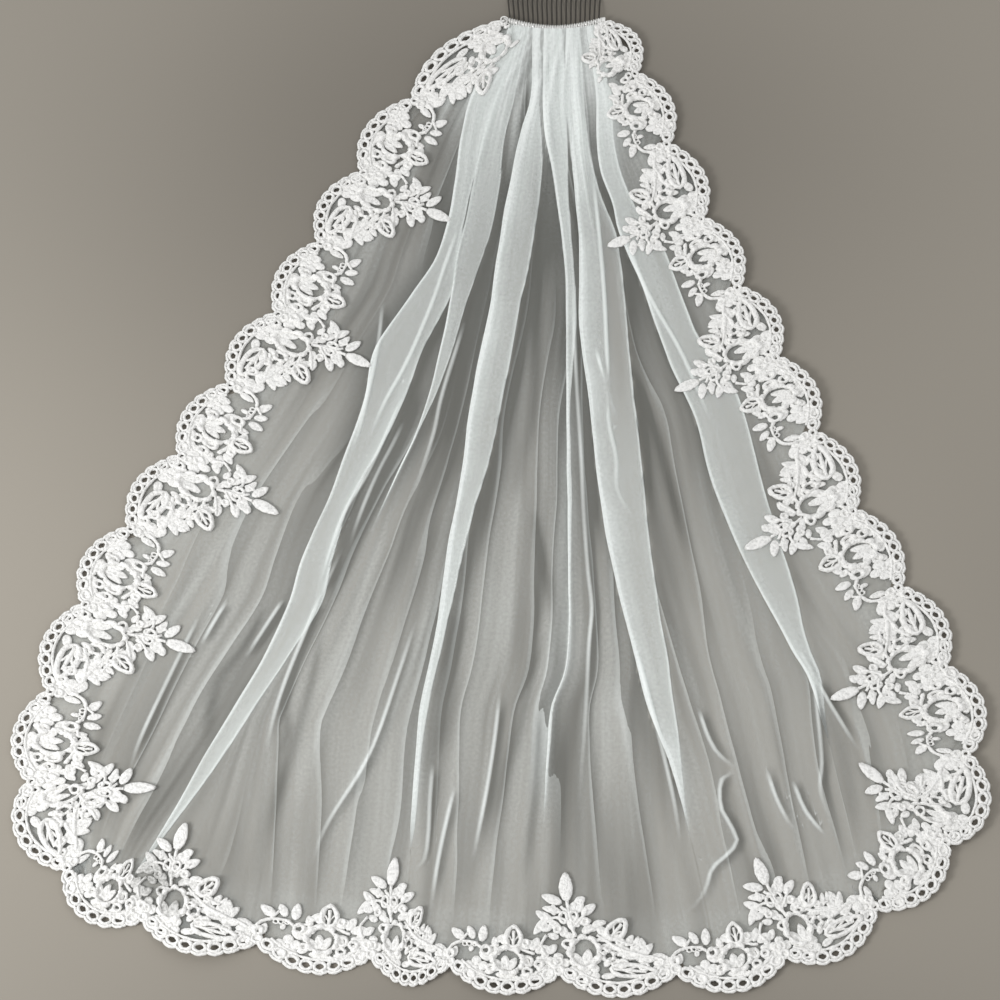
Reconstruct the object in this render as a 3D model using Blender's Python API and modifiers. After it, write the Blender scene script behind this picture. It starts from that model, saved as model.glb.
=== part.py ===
"""Bridal veil laid out flat: tulle gathered on a wire comb, pressed into long folds, with a scalloped
lace trim round its two sides and hem.

Metres, +Z up. The comb is towards +Y, the hem towards -Y, and the underside rests on z = 0.
The origin is below the middle of the whole outline, comb included.
The tables are in millimetres, because a maker would measure the veil so.
"""
import math

import bmesh
import bpy

MM = 0.001
MIDDLE_X = 1.67             # middle of the whole outline, in the tables' numbers
MIDDLE_Y = -2.54

# Driving dimensions, in millimetres
CLOTH = 1.2                 # wall of the tulle panel and of the lace
GAP = 0.3                   # between pieces that meet
PLEAT_CLOTH = 2.4           # the two doubled-back layers of a pressed fold, at its middle
PLEAT_EDGE = 0.45           # share of that thickness left at a fold's edge
GATHER_HEIGHT = 6.5         # stack of gathers on the comb
GATHER_LEFT = 22.0          # x of the bundle's two sides
GATHER_RIGHT = 80.0
GATHER_COUNT = 13
GATHER_ROWS = 4
GATHER_START = 0.002        # fall of the bundle's top edge, just off the comb
GATHER_END = 0.0006         # and of the gap below it
GATHER_VALLEY = 0.55        # height of a valley between gathers, as a share of a gather's
GATHER_FALL_AWAY = 0.45     # share of its height that the bundle loses from the comb down
SCALLOP_BULGE = 19.0        # how far a scallop reaches out past the line through its necks
SCALLOP_NECK = 2.0
NECKS = 31                  # scallops all round, from one end of the comb to the other
LEFT_CORNER = 11.5          # neck number where the left side turns into the hem
RIGHT_CORNER = 19.5
PANEL_OVERHANG = 6.0        # tulle carried out under the lace, past the neck line
COMB_OVERHANG = 3.0         # and beside the comb
OVERHANG_GROWS = 0.1        # fall by which it has its full width
PANEL_ROWS = 24
FIRST_ROW = 0.045           # fall of the row just below the gathers
SPAN_COLUMNS = 4            # strips of cloth between two folds
FOLD_COLUMNS = 3            # strips across a fold
LEAST_STOP = 0.004          # least share of a row between two folds' edges
HALVINGS = 30               # of the interval in which a row crosses an edge
RIDGE_FADE_BELOW = 60.0     # lengths over which a ridge rises at its two ends
RIDGE_FADE_ABOVE = 80.0
RIDGE_REACH_BELOW = 30.0    # and how far those lengths start outside its levels
RIDGE_REACH_ABOVE = 20.0
RIDGE_FLAT = 78.0           # distance from the neck line within which no ridge rises
RIDGE_FULL = 130.0          # and past which each has its full height
LACE_END = 0.12             # neck number at which the lace starts beside the comb
LACE_STRIPS = (0.0, 0.35, 1.0)
LACE_STEPS = 6              # stations along one scallop
SCALLOP_ROUNDNESS = 0.8     # below 1 makes a scallop's tip broader than a sine's
SCALLOP_PITCH = 90.0

SPINE_SAG = 10.0
SPINE_DIAMETER = 3.6
SPINE_HEIGHT = 4.4          # centre of the spine above the table
TOOTH_COUNT = 20
TOOTH_DIAMETER = 1.3
TOOTH_LENGTH = 36.0
TOOTH_CROWD = 1.06          # the teeth spread a little towards their tips
TOOTH_FIRST = 0.06          # place of the first tooth, as a share of the spine
TOOTH_BEND = 0.3            # share of its length at which a tooth bends down to the table
SPINE_STEPS = 16

# The line through the scallops' necks, from the comb's left end round the hem to its right end:
# neck number, x, y, and how much of the lace's full depth lies open there
BORDER = (
    (0, 6, 462, 0.10),
    (1, -82, 374, 1.00),
    (2, -130, 292, 1.00),
    (4, -206, 139, 1.00),
    (6, -288, -7, 1.00),
    (8, -366, -153, 1.00),
    (10, -402, -318, 1.00),
    (11, -366, -396, 1.00),
    (12, -298, -440, 1.00),
    (14, -106, -472, 1.00),
    (15, -40, -479, 1.00),
    (16, 51, -486, 1.00),
    (18, 240, -472, 1.00),
    (20, 382, -374, 1.00),
    (21, 405, -294, 1.00),
    (22, 391, -212, 1.00),
    (24, 320, -62, 1.00),
    (26, 257, 92, 0.90),
    (28, 193, 240, 0.85),
    (30, 134, 402, 0.55),
    (31, 104, 462, 0.30),
)

# Depth of the lace inside the neck line: position within a repeat of two scallops, depth.
# The repeat starts at the neck that carries the large leafy spray.
LACE_DEPTH = (
    (0.00, 66),
    (0.16, 52),
    (0.40, 36),
    (0.80, 36),
    (1.10, 45),
    (1.35, 42),
    (1.55, 32),
    (1.84, 50),
    (2.00, 66),
)

# Pressed folds, from left to right: name, and the lowest y that it reaches
FOLDS = (
    ("pleat_far_left", -372),
    ("pleat_left", -62),
    ("pleat_centre_left", -330),
    ("pleat_centre", -300),
    ("pleat_centre_right", -340),
    ("pleat_right", -262),
)
# Their places: level (y), then the left edge and the width of each fold, in the same order
FOLD_PLACES = (
    (440, (12, 8), (21, 11), (36, 7), (46, 18), (66, 17), (87, 5)),
    (340, (-31, 20), (-9, 22), (20, 19), (46, 19), (67, 19), (91, 10)),
    (240, (-47, 15), (-30, 26), (3, 33), (57, 18), (77, 31), (110, 18)),
    (140, (-92, 41), (-46, 17), (-9, 28), (62, 11), (77, 41), (142, 26)),
    (40, (-124, 34), (-67, 13), (-27, 27), (61, 9), (83, 43), (176, 34)),
    (-60, (-157, 22), (-104, 10), (-40, 19), (61, 8), (94, 39), (201, 38)),
    (-160, (-186, 26), (-140, 8), (-52, 9), (62, 8), (110, 32), (239, 24)),
    (-260, (-234, 16), (-180, 8), (-66, 7), (48, 8), (134, 19), (276, 8)),
    (-360, (-287, 8), (-220, 8), (-74, 7), (42, 8), (158, 8), (290, 8)),
)

# Soft ridges of the open cloth: place, number of folds at its left, highest level, lowest level, height
RIDGES = (
    ("left span", 0, 330, -330, 3.0),
    ("beside the far left fold", 1, 60, -330, 4.0),
    ("between the left folds", 2, 90, -300, 3.5),
    ("left of centre", 3, 130, -330, 4.5),
    ("right of centre", 4, 10, -330, 3.0),
    ("right span", 5, 130, -330, 4.0),
    ("right edge", 6, 0, -250, 3.0),
)

COLOURS = {
    # material: red, green, blue, roughness, metallic
    "tulle": (0.86, 0.88, 0.86, 0.7, 0.0),
    "lace": (0.93, 0.92, 0.90, 0.8, 0.0),
    "comb_wire": (0.42, 0.42, 0.40, 0.35, 1.0),
}


def fresh_scene():
    for thing in list(bpy.data.objects):
        bpy.data.objects.remove(thing, do_unlink=True)
    group = bpy.data.collections.new("bridal_veil")
    bpy.context.scene.collection.children.link(group)
    return group


def material(name):
    found = bpy.data.materials.get(name)
    if found:
        return found
    red, green, blue, roughness, metallic = COLOURS[name]
    made = bpy.data.materials.new(name)
    made.use_nodes = True
    surface = made.node_tree.nodes["Principled BSDF"]
    surface.inputs["Base Color"].default_value = (red, green, blue, 1.0)
    surface.inputs["Roughness"].default_value = roughness
    surface.inputs["Metallic"].default_value = metallic
    return made


def metres(x, y, z):
    """A place in the tables' millimetres, as metres from the origin."""
    return (x - MIDDLE_X) * MM, (y - MIDDLE_Y) * MM, z * MM


def smooth(rows, at):
    """Values of a table at a key, on a smooth curve through its rows. A row is (key, value, ...)."""
    last = len(rows) - 1
    place = 0
    while place < last - 1 and rows[place + 1][0] <= at:
        place += 1
    before = rows[max(place - 1, 0)]
    start = rows[place]
    end = rows[place + 1]
    after = rows[min(place + 2, last)]
    span = end[0] - start[0]
    u = min(max((at - start[0]) / span, 0.0), 1.0)
    values = []
    for i in range(1, len(start)):
        leave = (end[i] - before[i]) / (end[0] - before[0]) * span
        arrive = (after[i] - start[i]) / (after[0] - start[0]) * span
        values.append(
            (2 * u ** 3 - 3 * u ** 2 + 1) * start[i]
            + (u ** 3 - 2 * u ** 2 + u) * leave
            + (3 * u ** 2 - 2 * u ** 3) * end[i]
            + (u ** 3 - u ** 2) * arrive
        )
    return values


def ease(low, high, at):
    """0 below low, 1 above high, and a soft step between."""
    u = min(max((at - low) / (high - low), 0.0), 1.0)
    return u * u * (3 - 2 * u)


def neck_point(neck, inward=0.0):
    """A point near the neck line, moved into the veil by a distance."""
    x, y, _ = smooth(BORDER, neck)
    x_on, y_on, _ = smooth(BORDER, min(neck + 0.05, NECKS))
    x_back, y_back, _ = smooth(BORDER, max(neck - 0.05, 0))
    length = math.hypot(x_on - x_back, y_on - y_back)
    across_x = -(y_on - y_back) / length
    across_y = (x_on - x_back) / length
    return x + inward * across_x, y + inward * across_y


def scallop_reach(neck):
    """How far out the lace's scalloped edge lies from the neck line."""
    return SCALLOP_NECK + SCALLOP_BULGE * math.sin(math.pi * (neck % 1.0)) ** SCALLOP_ROUNDNESS


def lace_reach(neck):
    """How far in the lace lies from the neck line."""
    depth, = smooth(LACE_DEPTH, neck % 2.0)
    openness = smooth(BORDER, neck)[2]
    return depth * openness


def comb_line(share):
    """The gathered top edge, from the comb's left end (0) to its right end (1)."""
    left = BORDER[0]
    right = BORDER[-1]
    x = left[1] + (right[1] - left[1]) * share
    y = left[2] + (right[2] - left[2]) * share - SPINE_SAG * math.sin(math.pi * share)
    return x, y


def panel_point(share, fall):
    """A point of the laid panel: share across it, and fall from the comb (0) to the hem (1)."""
    out = COMB_OVERHANG + (PANEL_OVERHANG - COMB_OVERHANG) * ease(0.0, OVERHANG_GROWS, fall)
    top = comb_line(share)
    hem = neck_point(LEFT_CORNER + (RIGHT_CORNER - LEFT_CORNER) * share, -PANEL_OVERHANG)
    left = neck_point(LEFT_CORNER * fall, -out)
    right = neck_point(NECKS - (NECKS - RIGHT_CORNER) * fall, -out)
    hem_left = neck_point(LEFT_CORNER, -PANEL_OVERHANG)
    hem_right = neck_point(RIGHT_CORNER, -PANEL_OVERHANG)
    point = []
    for i in (0, 1):
        sides = (1 - share) * left[i] + share * right[i]
        ends = (1 - fall) * top[i] + fall * hem[i]
        top_corners = (1 - share) * comb_line(0)[i] + share * comb_line(1)[i]
        hem_corners = (1 - share) * hem_left[i] + share * hem_right[i]
        point.append(sides + ends - (1 - fall) * top_corners - fall * hem_corners)
    return point


def fold_edges(place, y):
    """Left and right x of a fold, given by its number from the left, at a level."""
    down = [(-row[0], *row[1 + place]) for row in FOLD_PLACES]
    left, width = smooth(down, -y)
    return left, left + width


def share_where(fall, edge):
    """Share at which a row of the panel crosses an edge, given as a function from y to x."""
    low = 0.0
    high = 1.0
    for _ in range(HALVINGS):
        middle = (low + high) / 2
        x, y = panel_point(middle, fall)
        if x < edge(y):
            low = middle
        else:
            high = middle
    return (low + high) / 2


def row_falls():
    falls = [0.0]
    for row in range(PANEL_ROWS):
        falls.append(FIRST_ROW + (1 - FIRST_ROW) * row / (PANEL_ROWS - 1))
    return falls


def row_shares(fall):
    """Shares of one row's points: the folds' edges, with even steps between."""
    stops = [0.0]
    counts = []
    for place in range(len(FOLDS)):
        for side in (0, 1):
            stops.append(share_where(fall, lambda y: fold_edges(place, y)[side]))
            counts.append(FOLD_COLUMNS if side else SPAN_COLUMNS)
    stops.append(1.0)
    counts.append(SPAN_COLUMNS)
    for i in range(1, len(stops)):
        stops[i] = max(stops[i], stops[i - 1] + LEAST_STOP)
    stops[-1] = 1.0
    for i in range(len(stops) - 2, 0, -1):
        stops[i] = min(stops[i], stops[i + 1] - LEAST_STOP)
    shares = [0.0]
    for start, end, count in zip(stops, stops[1:], counts):
        for step in range(1, count + 1):
            shares.append(start + (end - start) * step / count)
    return shares


def fold_column(place):
    """Number of the column at a fold's left edge."""
    return SPAN_COLUMNS + place * (SPAN_COLUMNS + FOLD_COLUMNS)


def ridge_lift(column, y):
    """Height of the open cloth's soft ridges: only the middle columns of a span rise."""
    group, within = divmod(column, SPAN_COLUMNS + FOLD_COLUMNS)
    if within == 0 or within >= SPAN_COLUMNS:
        return 0.0
    for _, span, highest, lowest, height in RIDGES:
        if span == group:
            start = ease(lowest - RIDGE_REACH_BELOW, lowest + RIDGE_FADE_BELOW, y)
            end = ease(highest - RIDGE_FADE_ABOVE + RIDGE_REACH_ABOVE, highest + RIDGE_REACH_ABOVE, y)
            return height * start * (1 - end) * math.sin(math.pi * within / SPAN_COLUMNS) ** 2
    return 0.0


def clear_of_lace(x, y):
    """1 in the open middle of the veil and 0 under the lace."""
    nearest = min(
        math.hypot(x - px, y - py)
        for px, py in (neck_point(step * 0.5) for step in range(2 * NECKS + 1))
    )
    return ease(RIDGE_FLAT, RIDGE_FULL, nearest)


def panel_rows():
    """Points of the panel's underside, row by row from the comb, in millimetres."""
    rows = []
    for fall in row_falls():
        row = []
        for column, share in enumerate(row_shares(fall)):
            x, y = panel_point(share, fall)
            row.append((x, y, ridge_lift(column, y) * clear_of_lace(x, y)))
        rows.append(row)
    return rows


def sheet(group, name, rows, thickness, finish, fullness=None):
    """A closed wall on a grid of points: its underside is the grid, and Solidify gives its thickness.

    fullness(row, column) is the share of the thickness that a point gets."""
    down = len(rows)
    across = len(rows[0])
    form = bmesh.new()
    bmesh.ops.create_grid(form, x_segments=across - 1, y_segments=down - 1, size=1.0)
    places = []
    for vert in form.verts:
        column = round((vert.co.x + 1) / 2 * (across - 1))
        row = round((1 - vert.co.y) / 2 * (down - 1))
        places.append((row, column))
        x, y, z = rows[row][column]
        vert.co = metres(x, y, z)
    data = bpy.data.meshes.new(name)
    form.to_mesh(data)
    form.free()
    made = bpy.data.objects.new(name, data)
    group.objects.link(made)
    data.materials.append(material(finish))
    wall = made.modifiers.new("wall", "SOLIDIFY")
    wall.thickness = thickness * MM
    wall.offset = 1.0
    if fullness:
        weights = made.vertex_groups.new(name="fullness")
        for index, (row, column) in enumerate(places):
            weights.add([index], fullness(row, column), "REPLACE")
        wall.vertex_group = "fullness"
    return made


def tulle_panel(group, rows):
    return sheet(group, "tulle_panel", rows, CLOTH, "tulle")


def pleat(group, place, rows):
    """A pressed fold: the cloth doubled back twice, lying on the panel between the fold's edges."""
    name, lowest = FOLDS[place]
    first = fold_column(place)
    lying = []
    for row in rows[1:]:
        points = row[first:first + FOLD_COLUMNS + 1]
        if points[0][1] >= lowest:
            lying.append([(x, y, z + CLOTH + GAP) for x, y, z in points])

    def fullness(row, column):
        return 1.0 if 0 < column < FOLD_COLUMNS else PLEAT_EDGE

    return sheet(group, name, lying, PLEAT_CLOTH, "tulle", fullness)


def gathered_heading(group):
    """The bundle of gathers sewn to the comb, lying on the top of the panel."""
    rows = []
    steps_across = 2 * GATHER_COUNT
    for down in range(GATHER_ROWS + 1):
        fall = GATHER_START + (FIRST_ROW - GATHER_END - GATHER_START) * down / GATHER_ROWS
        row = []
        for column in range(steps_across + 1):
            x_wanted = GATHER_LEFT + (GATHER_RIGHT - GATHER_LEFT) * column / steps_across
            x, y = panel_point(share_where(fall, lambda _: x_wanted), fall)
            row.append((x, y, CLOTH + GAP))
        rows.append(row)

    def fullness(row, column):
        ridge = 1.0 if column % 2 else GATHER_VALLEY
        return ridge * (1.0 - GATHER_FALL_AWAY * row / GATHER_ROWS)

    return sheet(group, "gathered_heading", rows, GATHER_HEIGHT, "tulle", fullness)


def lace_length(group, name, first, last):
    """One stretch of the lace trim, on the panel's edge, from one neck number to another."""
    count = round((last - first) * LACE_STEPS)
    rows = []
    for strip in LACE_STRIPS:
        row = []
        for step in range(count + 1):
            neck = first + (last - first) * step / count
            outward = scallop_reach(neck)
            inward = lace_reach(neck) - (outward + lace_reach(neck)) * strip
            x, y = neck_point(neck, inward)
            row.append((x, y, CLOTH + GAP))
        rows.append(row)
    return sheet(group, name, rows, CLOTH, "lace")


def rod(group, name, points, diameter, finish):
    """A round bar or wire through points, with closed ends."""
    data = bpy.data.curves.new(name, "CURVE")
    data.dimensions = "3D"
    data.bevel_depth = diameter / 2 * MM
    data.bevel_resolution = 2
    data.use_fill_caps = True
    line = data.splines.new("POLY")
    line.points.add(len(points) - 1)
    for target, (x, y, z) in zip(line.points, points):
        target.co = (*metres(x, y, z), 1.0)
    made = bpy.data.objects.new(name, data)
    group.objects.link(made)
    data.materials.append(material(finish))
    return made


def spine_point(share):
    x, y = comb_line(share)
    return x, y + SPINE_DIAMETER / 2 + 2 * GAP, SPINE_HEIGHT


def comb(group):
    """Bowed spine with straight wire teeth, whose tips come down to the table."""
    line = [spine_point(step / SPINE_STEPS) for step in range(SPINE_STEPS + 1)]
    rod(group, "comb_spine", line, SPINE_DIAMETER, "comb_wire")
    middle, _, _ = spine_point(0.5)
    for tooth in range(TOOTH_COUNT):
        share = TOOTH_FIRST + (1 - 2 * TOOTH_FIRST) * tooth / (TOOTH_COUNT - 1)
        x, y, z = spine_point(share)
        root = y + SPINE_DIAMETER / 2 + GAP
        tip_x = middle + (x - middle) * TOOTH_CROWD
        tip_y = BORDER[0][2] + SPINE_DIAMETER + TOOTH_LENGTH
        tip_z = TOOTH_DIAMETER / 2
        bend_x = x + (tip_x - x) * TOOTH_BEND
        bend_y = root + (tip_y - root) * TOOTH_BEND
        wire = [(x, root, z), (bend_x, bend_y, z), (tip_x, tip_y, tip_z)]
        rod(group, f"comb_tooth_{tooth + 1:02d}", wire, TOOTH_DIAMETER, "comb_wire")


def build():
    group = fresh_scene()
    rows = panel_rows()
    tulle_panel(group, rows)
    for place in range(len(FOLDS)):
        pleat(group, place, rows)
    gathered_heading(group)
    seam = GAP / 2 / SCALLOP_PITCH
    lace_length(group, "lace_left", LACE_END, LEFT_CORNER - seam)
    lace_length(group, "lace_hem", LEFT_CORNER + seam, RIGHT_CORNER - seam)
    lace_length(group, "lace_right", RIGHT_CORNER + seam, NECKS - LACE_END)
    comb(group)


build()
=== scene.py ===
import math
from collections import namedtuple

import bpy
import numpy as np
from bpy.props import FloatProperty, FloatVectorProperty, IntProperty, PointerProperty
from mathutils import Matrix, Vector, noise


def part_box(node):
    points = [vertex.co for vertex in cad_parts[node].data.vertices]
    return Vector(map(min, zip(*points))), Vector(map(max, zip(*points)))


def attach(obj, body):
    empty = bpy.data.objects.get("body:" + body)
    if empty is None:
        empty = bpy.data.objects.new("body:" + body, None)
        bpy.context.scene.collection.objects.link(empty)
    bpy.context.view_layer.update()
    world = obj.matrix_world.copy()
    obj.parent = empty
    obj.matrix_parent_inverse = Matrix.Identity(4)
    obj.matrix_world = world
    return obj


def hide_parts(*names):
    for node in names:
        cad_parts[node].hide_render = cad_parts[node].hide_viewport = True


bl_info = {
    "name": "Bridal Veil",
    "version": (1, 0, 0),
    "blender": (4, 5, 0),
    "location": "3D View > Sidebar > Veil",
    "description": "Tulle veil gathered on a wire comb, with a corded floral lace trim, laid out flat",
    "category": "Add Mesh",
}

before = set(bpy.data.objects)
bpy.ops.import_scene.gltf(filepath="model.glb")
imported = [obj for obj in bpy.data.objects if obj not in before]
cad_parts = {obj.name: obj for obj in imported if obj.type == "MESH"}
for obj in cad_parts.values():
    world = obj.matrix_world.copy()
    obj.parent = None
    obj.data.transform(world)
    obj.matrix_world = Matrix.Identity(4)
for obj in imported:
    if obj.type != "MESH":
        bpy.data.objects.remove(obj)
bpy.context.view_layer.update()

MM = 0.001

# ---------------------------------------------------------------------------
# The veil's laid form, in millimetres, as its cutter would measure it
# ---------------------------------------------------------------------------
MIDDLE_X = 1.67             # middle of the whole outline, in the tables' numbers
MIDDLE_Y = -2.54
NECKS = 31                  # scallops all round, from one end of the comb to the other
LEFT_CORNER = 11.5          # neck number where the left side turns into the hem
RIGHT_CORNER = 19.5
SPINE_SAG = 10.0
SCALLOP_BULGE = 19.0
SCALLOP_NECK = 2.0
SCALLOP_ROUNDNESS = 0.8

# The line through the scallops' necks: neck number, x, y, share of the lace's depth that lies open
BORDER = (
    (0, 6, 462, 0.60),
    (1, -82, 374, 1.00),
    (2, -130, 292, 1.00),
    (4, -206, 139, 1.00),
    (6, -288, -7, 1.00),
    (8, -366, -153, 1.00),
    (10, -402, -318, 1.00),
    (11, -366, -396, 1.00),
    (12, -298, -440, 1.00),
    (14, -106, -472, 1.00),
    (15, -40, -479, 1.00),
    (16, 51, -486, 1.00),
    (18, 240, -472, 1.00),
    (20, 382, -374, 1.00),
    (21, 405, -294, 1.00),
    (22, 391, -212, 1.00),
    (24, 320, -62, 1.00),
    (26, 257, 92, 0.95),
    (28, 193, 240, 0.92),
    (30, 134, 402, 0.85),
    (31, 104, 462, 0.60),
)

# How high the lace stands off the table: neck number, at its scalloped edge, at its inner edge
LACE_LIFT = (
    (0.0, 3.0, 7.0),
    (0.6, 3.0, 6.0),
    (1.0, 0.6, 1.0),
    (3.0, 1.0, 0.6),
    (5.5, 0.6, 1.2),
    (8.0, 1.4, 0.6),
    (10.0, 0.6, 1.6),
    (11.4, 2.0, 1.5),
    (12.0, 0.8, 2.0),
    (12.5, 7.0, 4.0),
    (13.1, 0.6, 1.0),
    (14.5, 1.0, 1.0),
    (15.4, 4.0, 3.0),
    (16.0, 0.8, 1.0),
    (17.5, 2.0, 0.6),
    (19.0, 0.8, 1.5),
    (20.5, 4.5, 1.0),
    (21.5, 3.5, 0.8),
    (23.0, 1.5, 1.0),
    (24.5, 3.5, 0.6),
    (26.5, 4.0, 1.2),
    (28.5, 3.5, 1.0),
    (30.0, 2.5, 4.5),
    (31.0, 3.0, 7.0),
)

# Pressed folds, from left to right. Each has the widths of its bright left and right edges, how
# much soft light lies inside them, and its places from the comb down: level (y), left edge, right edge.
FOLDS = (
    (1.8, 1.7, 0.16, 0.30, (
        (450, 10, 24), (375, -26, 4), (330, -36, -11), (280, -42, -24), (240, -48, -31),
        (199, -58, -38), (160, -80, -43), (103, -113, -68), (50, -122, -86), (0, -137, -107),
        (-50, -152, -132), (-84, -166, -141), (-111, -176, -147), (-150, -185, -154),
        (-200, -204, -182), (-250, -229, -211), (-300, -255, -240), (-340, -275, -266),
        (-385, -299, -296))),
    (1.4, 1.1, 0.16, 0.16, (
        (450, 20, 30), (375, -2, 17), (330, -14, 6), (280, -23, 2), (240, -30, -4),
        (199, -39, -15), (156, -45, -28), (100, -54, -43), (60, -62, -55), (18, -74, -71),
        (-20, -89, -87), (-62, -106, -105))),
    (3.4, 1.6, 0.62, 0.16, (
        (450, 34, 41), (375, 32, 39), (342, 23, 41), (311, 16, 42), (283, 11, 41), (247, 5, 37),
        (214, 1, 33), (179, -4, 28), (148, -7, 21), (106, -15, 14), (67, -22, 7), (29, -27, 0),
        (-15, -31, -9), (-57, -38, -20), (-95, -45, -29), (-137, -50, -38), (-190, -57, -48),
        (-250, -67, -60), (-300, -71, -66), (-354, -74, -71))),
    (1.8, 1.7, 0.30, 0.28, (
        (450, 44, 62), (400, 43, 64), (340, 45, 66), (300, 51, 67), (240, 58, 69),
        (190, 62, 71), (140, 63, 73), (100, 63, 70), (50, 62, 66), (-60, 63, 66),
        (-147, 63, 65), (-190, 61, 63), (-218, 57, 59), (-250, 46, 48), (-293, 42, 44),
        (-334, 40, 41))),
    (2.6, 1.4, 0.66, 0.12, (
        (450, 66, 80), (375, 65, 83), (340, 68, 86), (304, 70, 90), (264, 73, 99), (226, 76, 111),
        (196, 76, 114), (165, 75, 117), (123, 75, 120), (64, 81, 124), (20, 86, 128),
        (-24, 90, 131), (-82, 96, 135), (-128, 104, 140), (-165, 111, 143), (-200, 119, 148),
        (-242, 128, 152), (-277, 139, 156), (-303, 148, 158), (-350, 160, 162))),
    (1.9, 1.5, 0.32, 0.12, (
        (450, 87, 95), (375, 94, 111), (332, 94, 111), (290, 98, 118), (257, 108, 129),
        (231, 112, 142), (209, 119, 155), (174, 132, 166), (140, 142, 177), (114, 150, 186),
        (81, 161, 206), (61, 169, 217), (27, 181, 227), (-15, 188, 235), (-53, 198, 243),
        (-94, 212, 253), (-119, 222, 259), (-149, 236, 265), (-175, 248, 268), (-198, 258, 274),
        (-219, 269, 281), (-262, 281, 284))),
)

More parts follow.
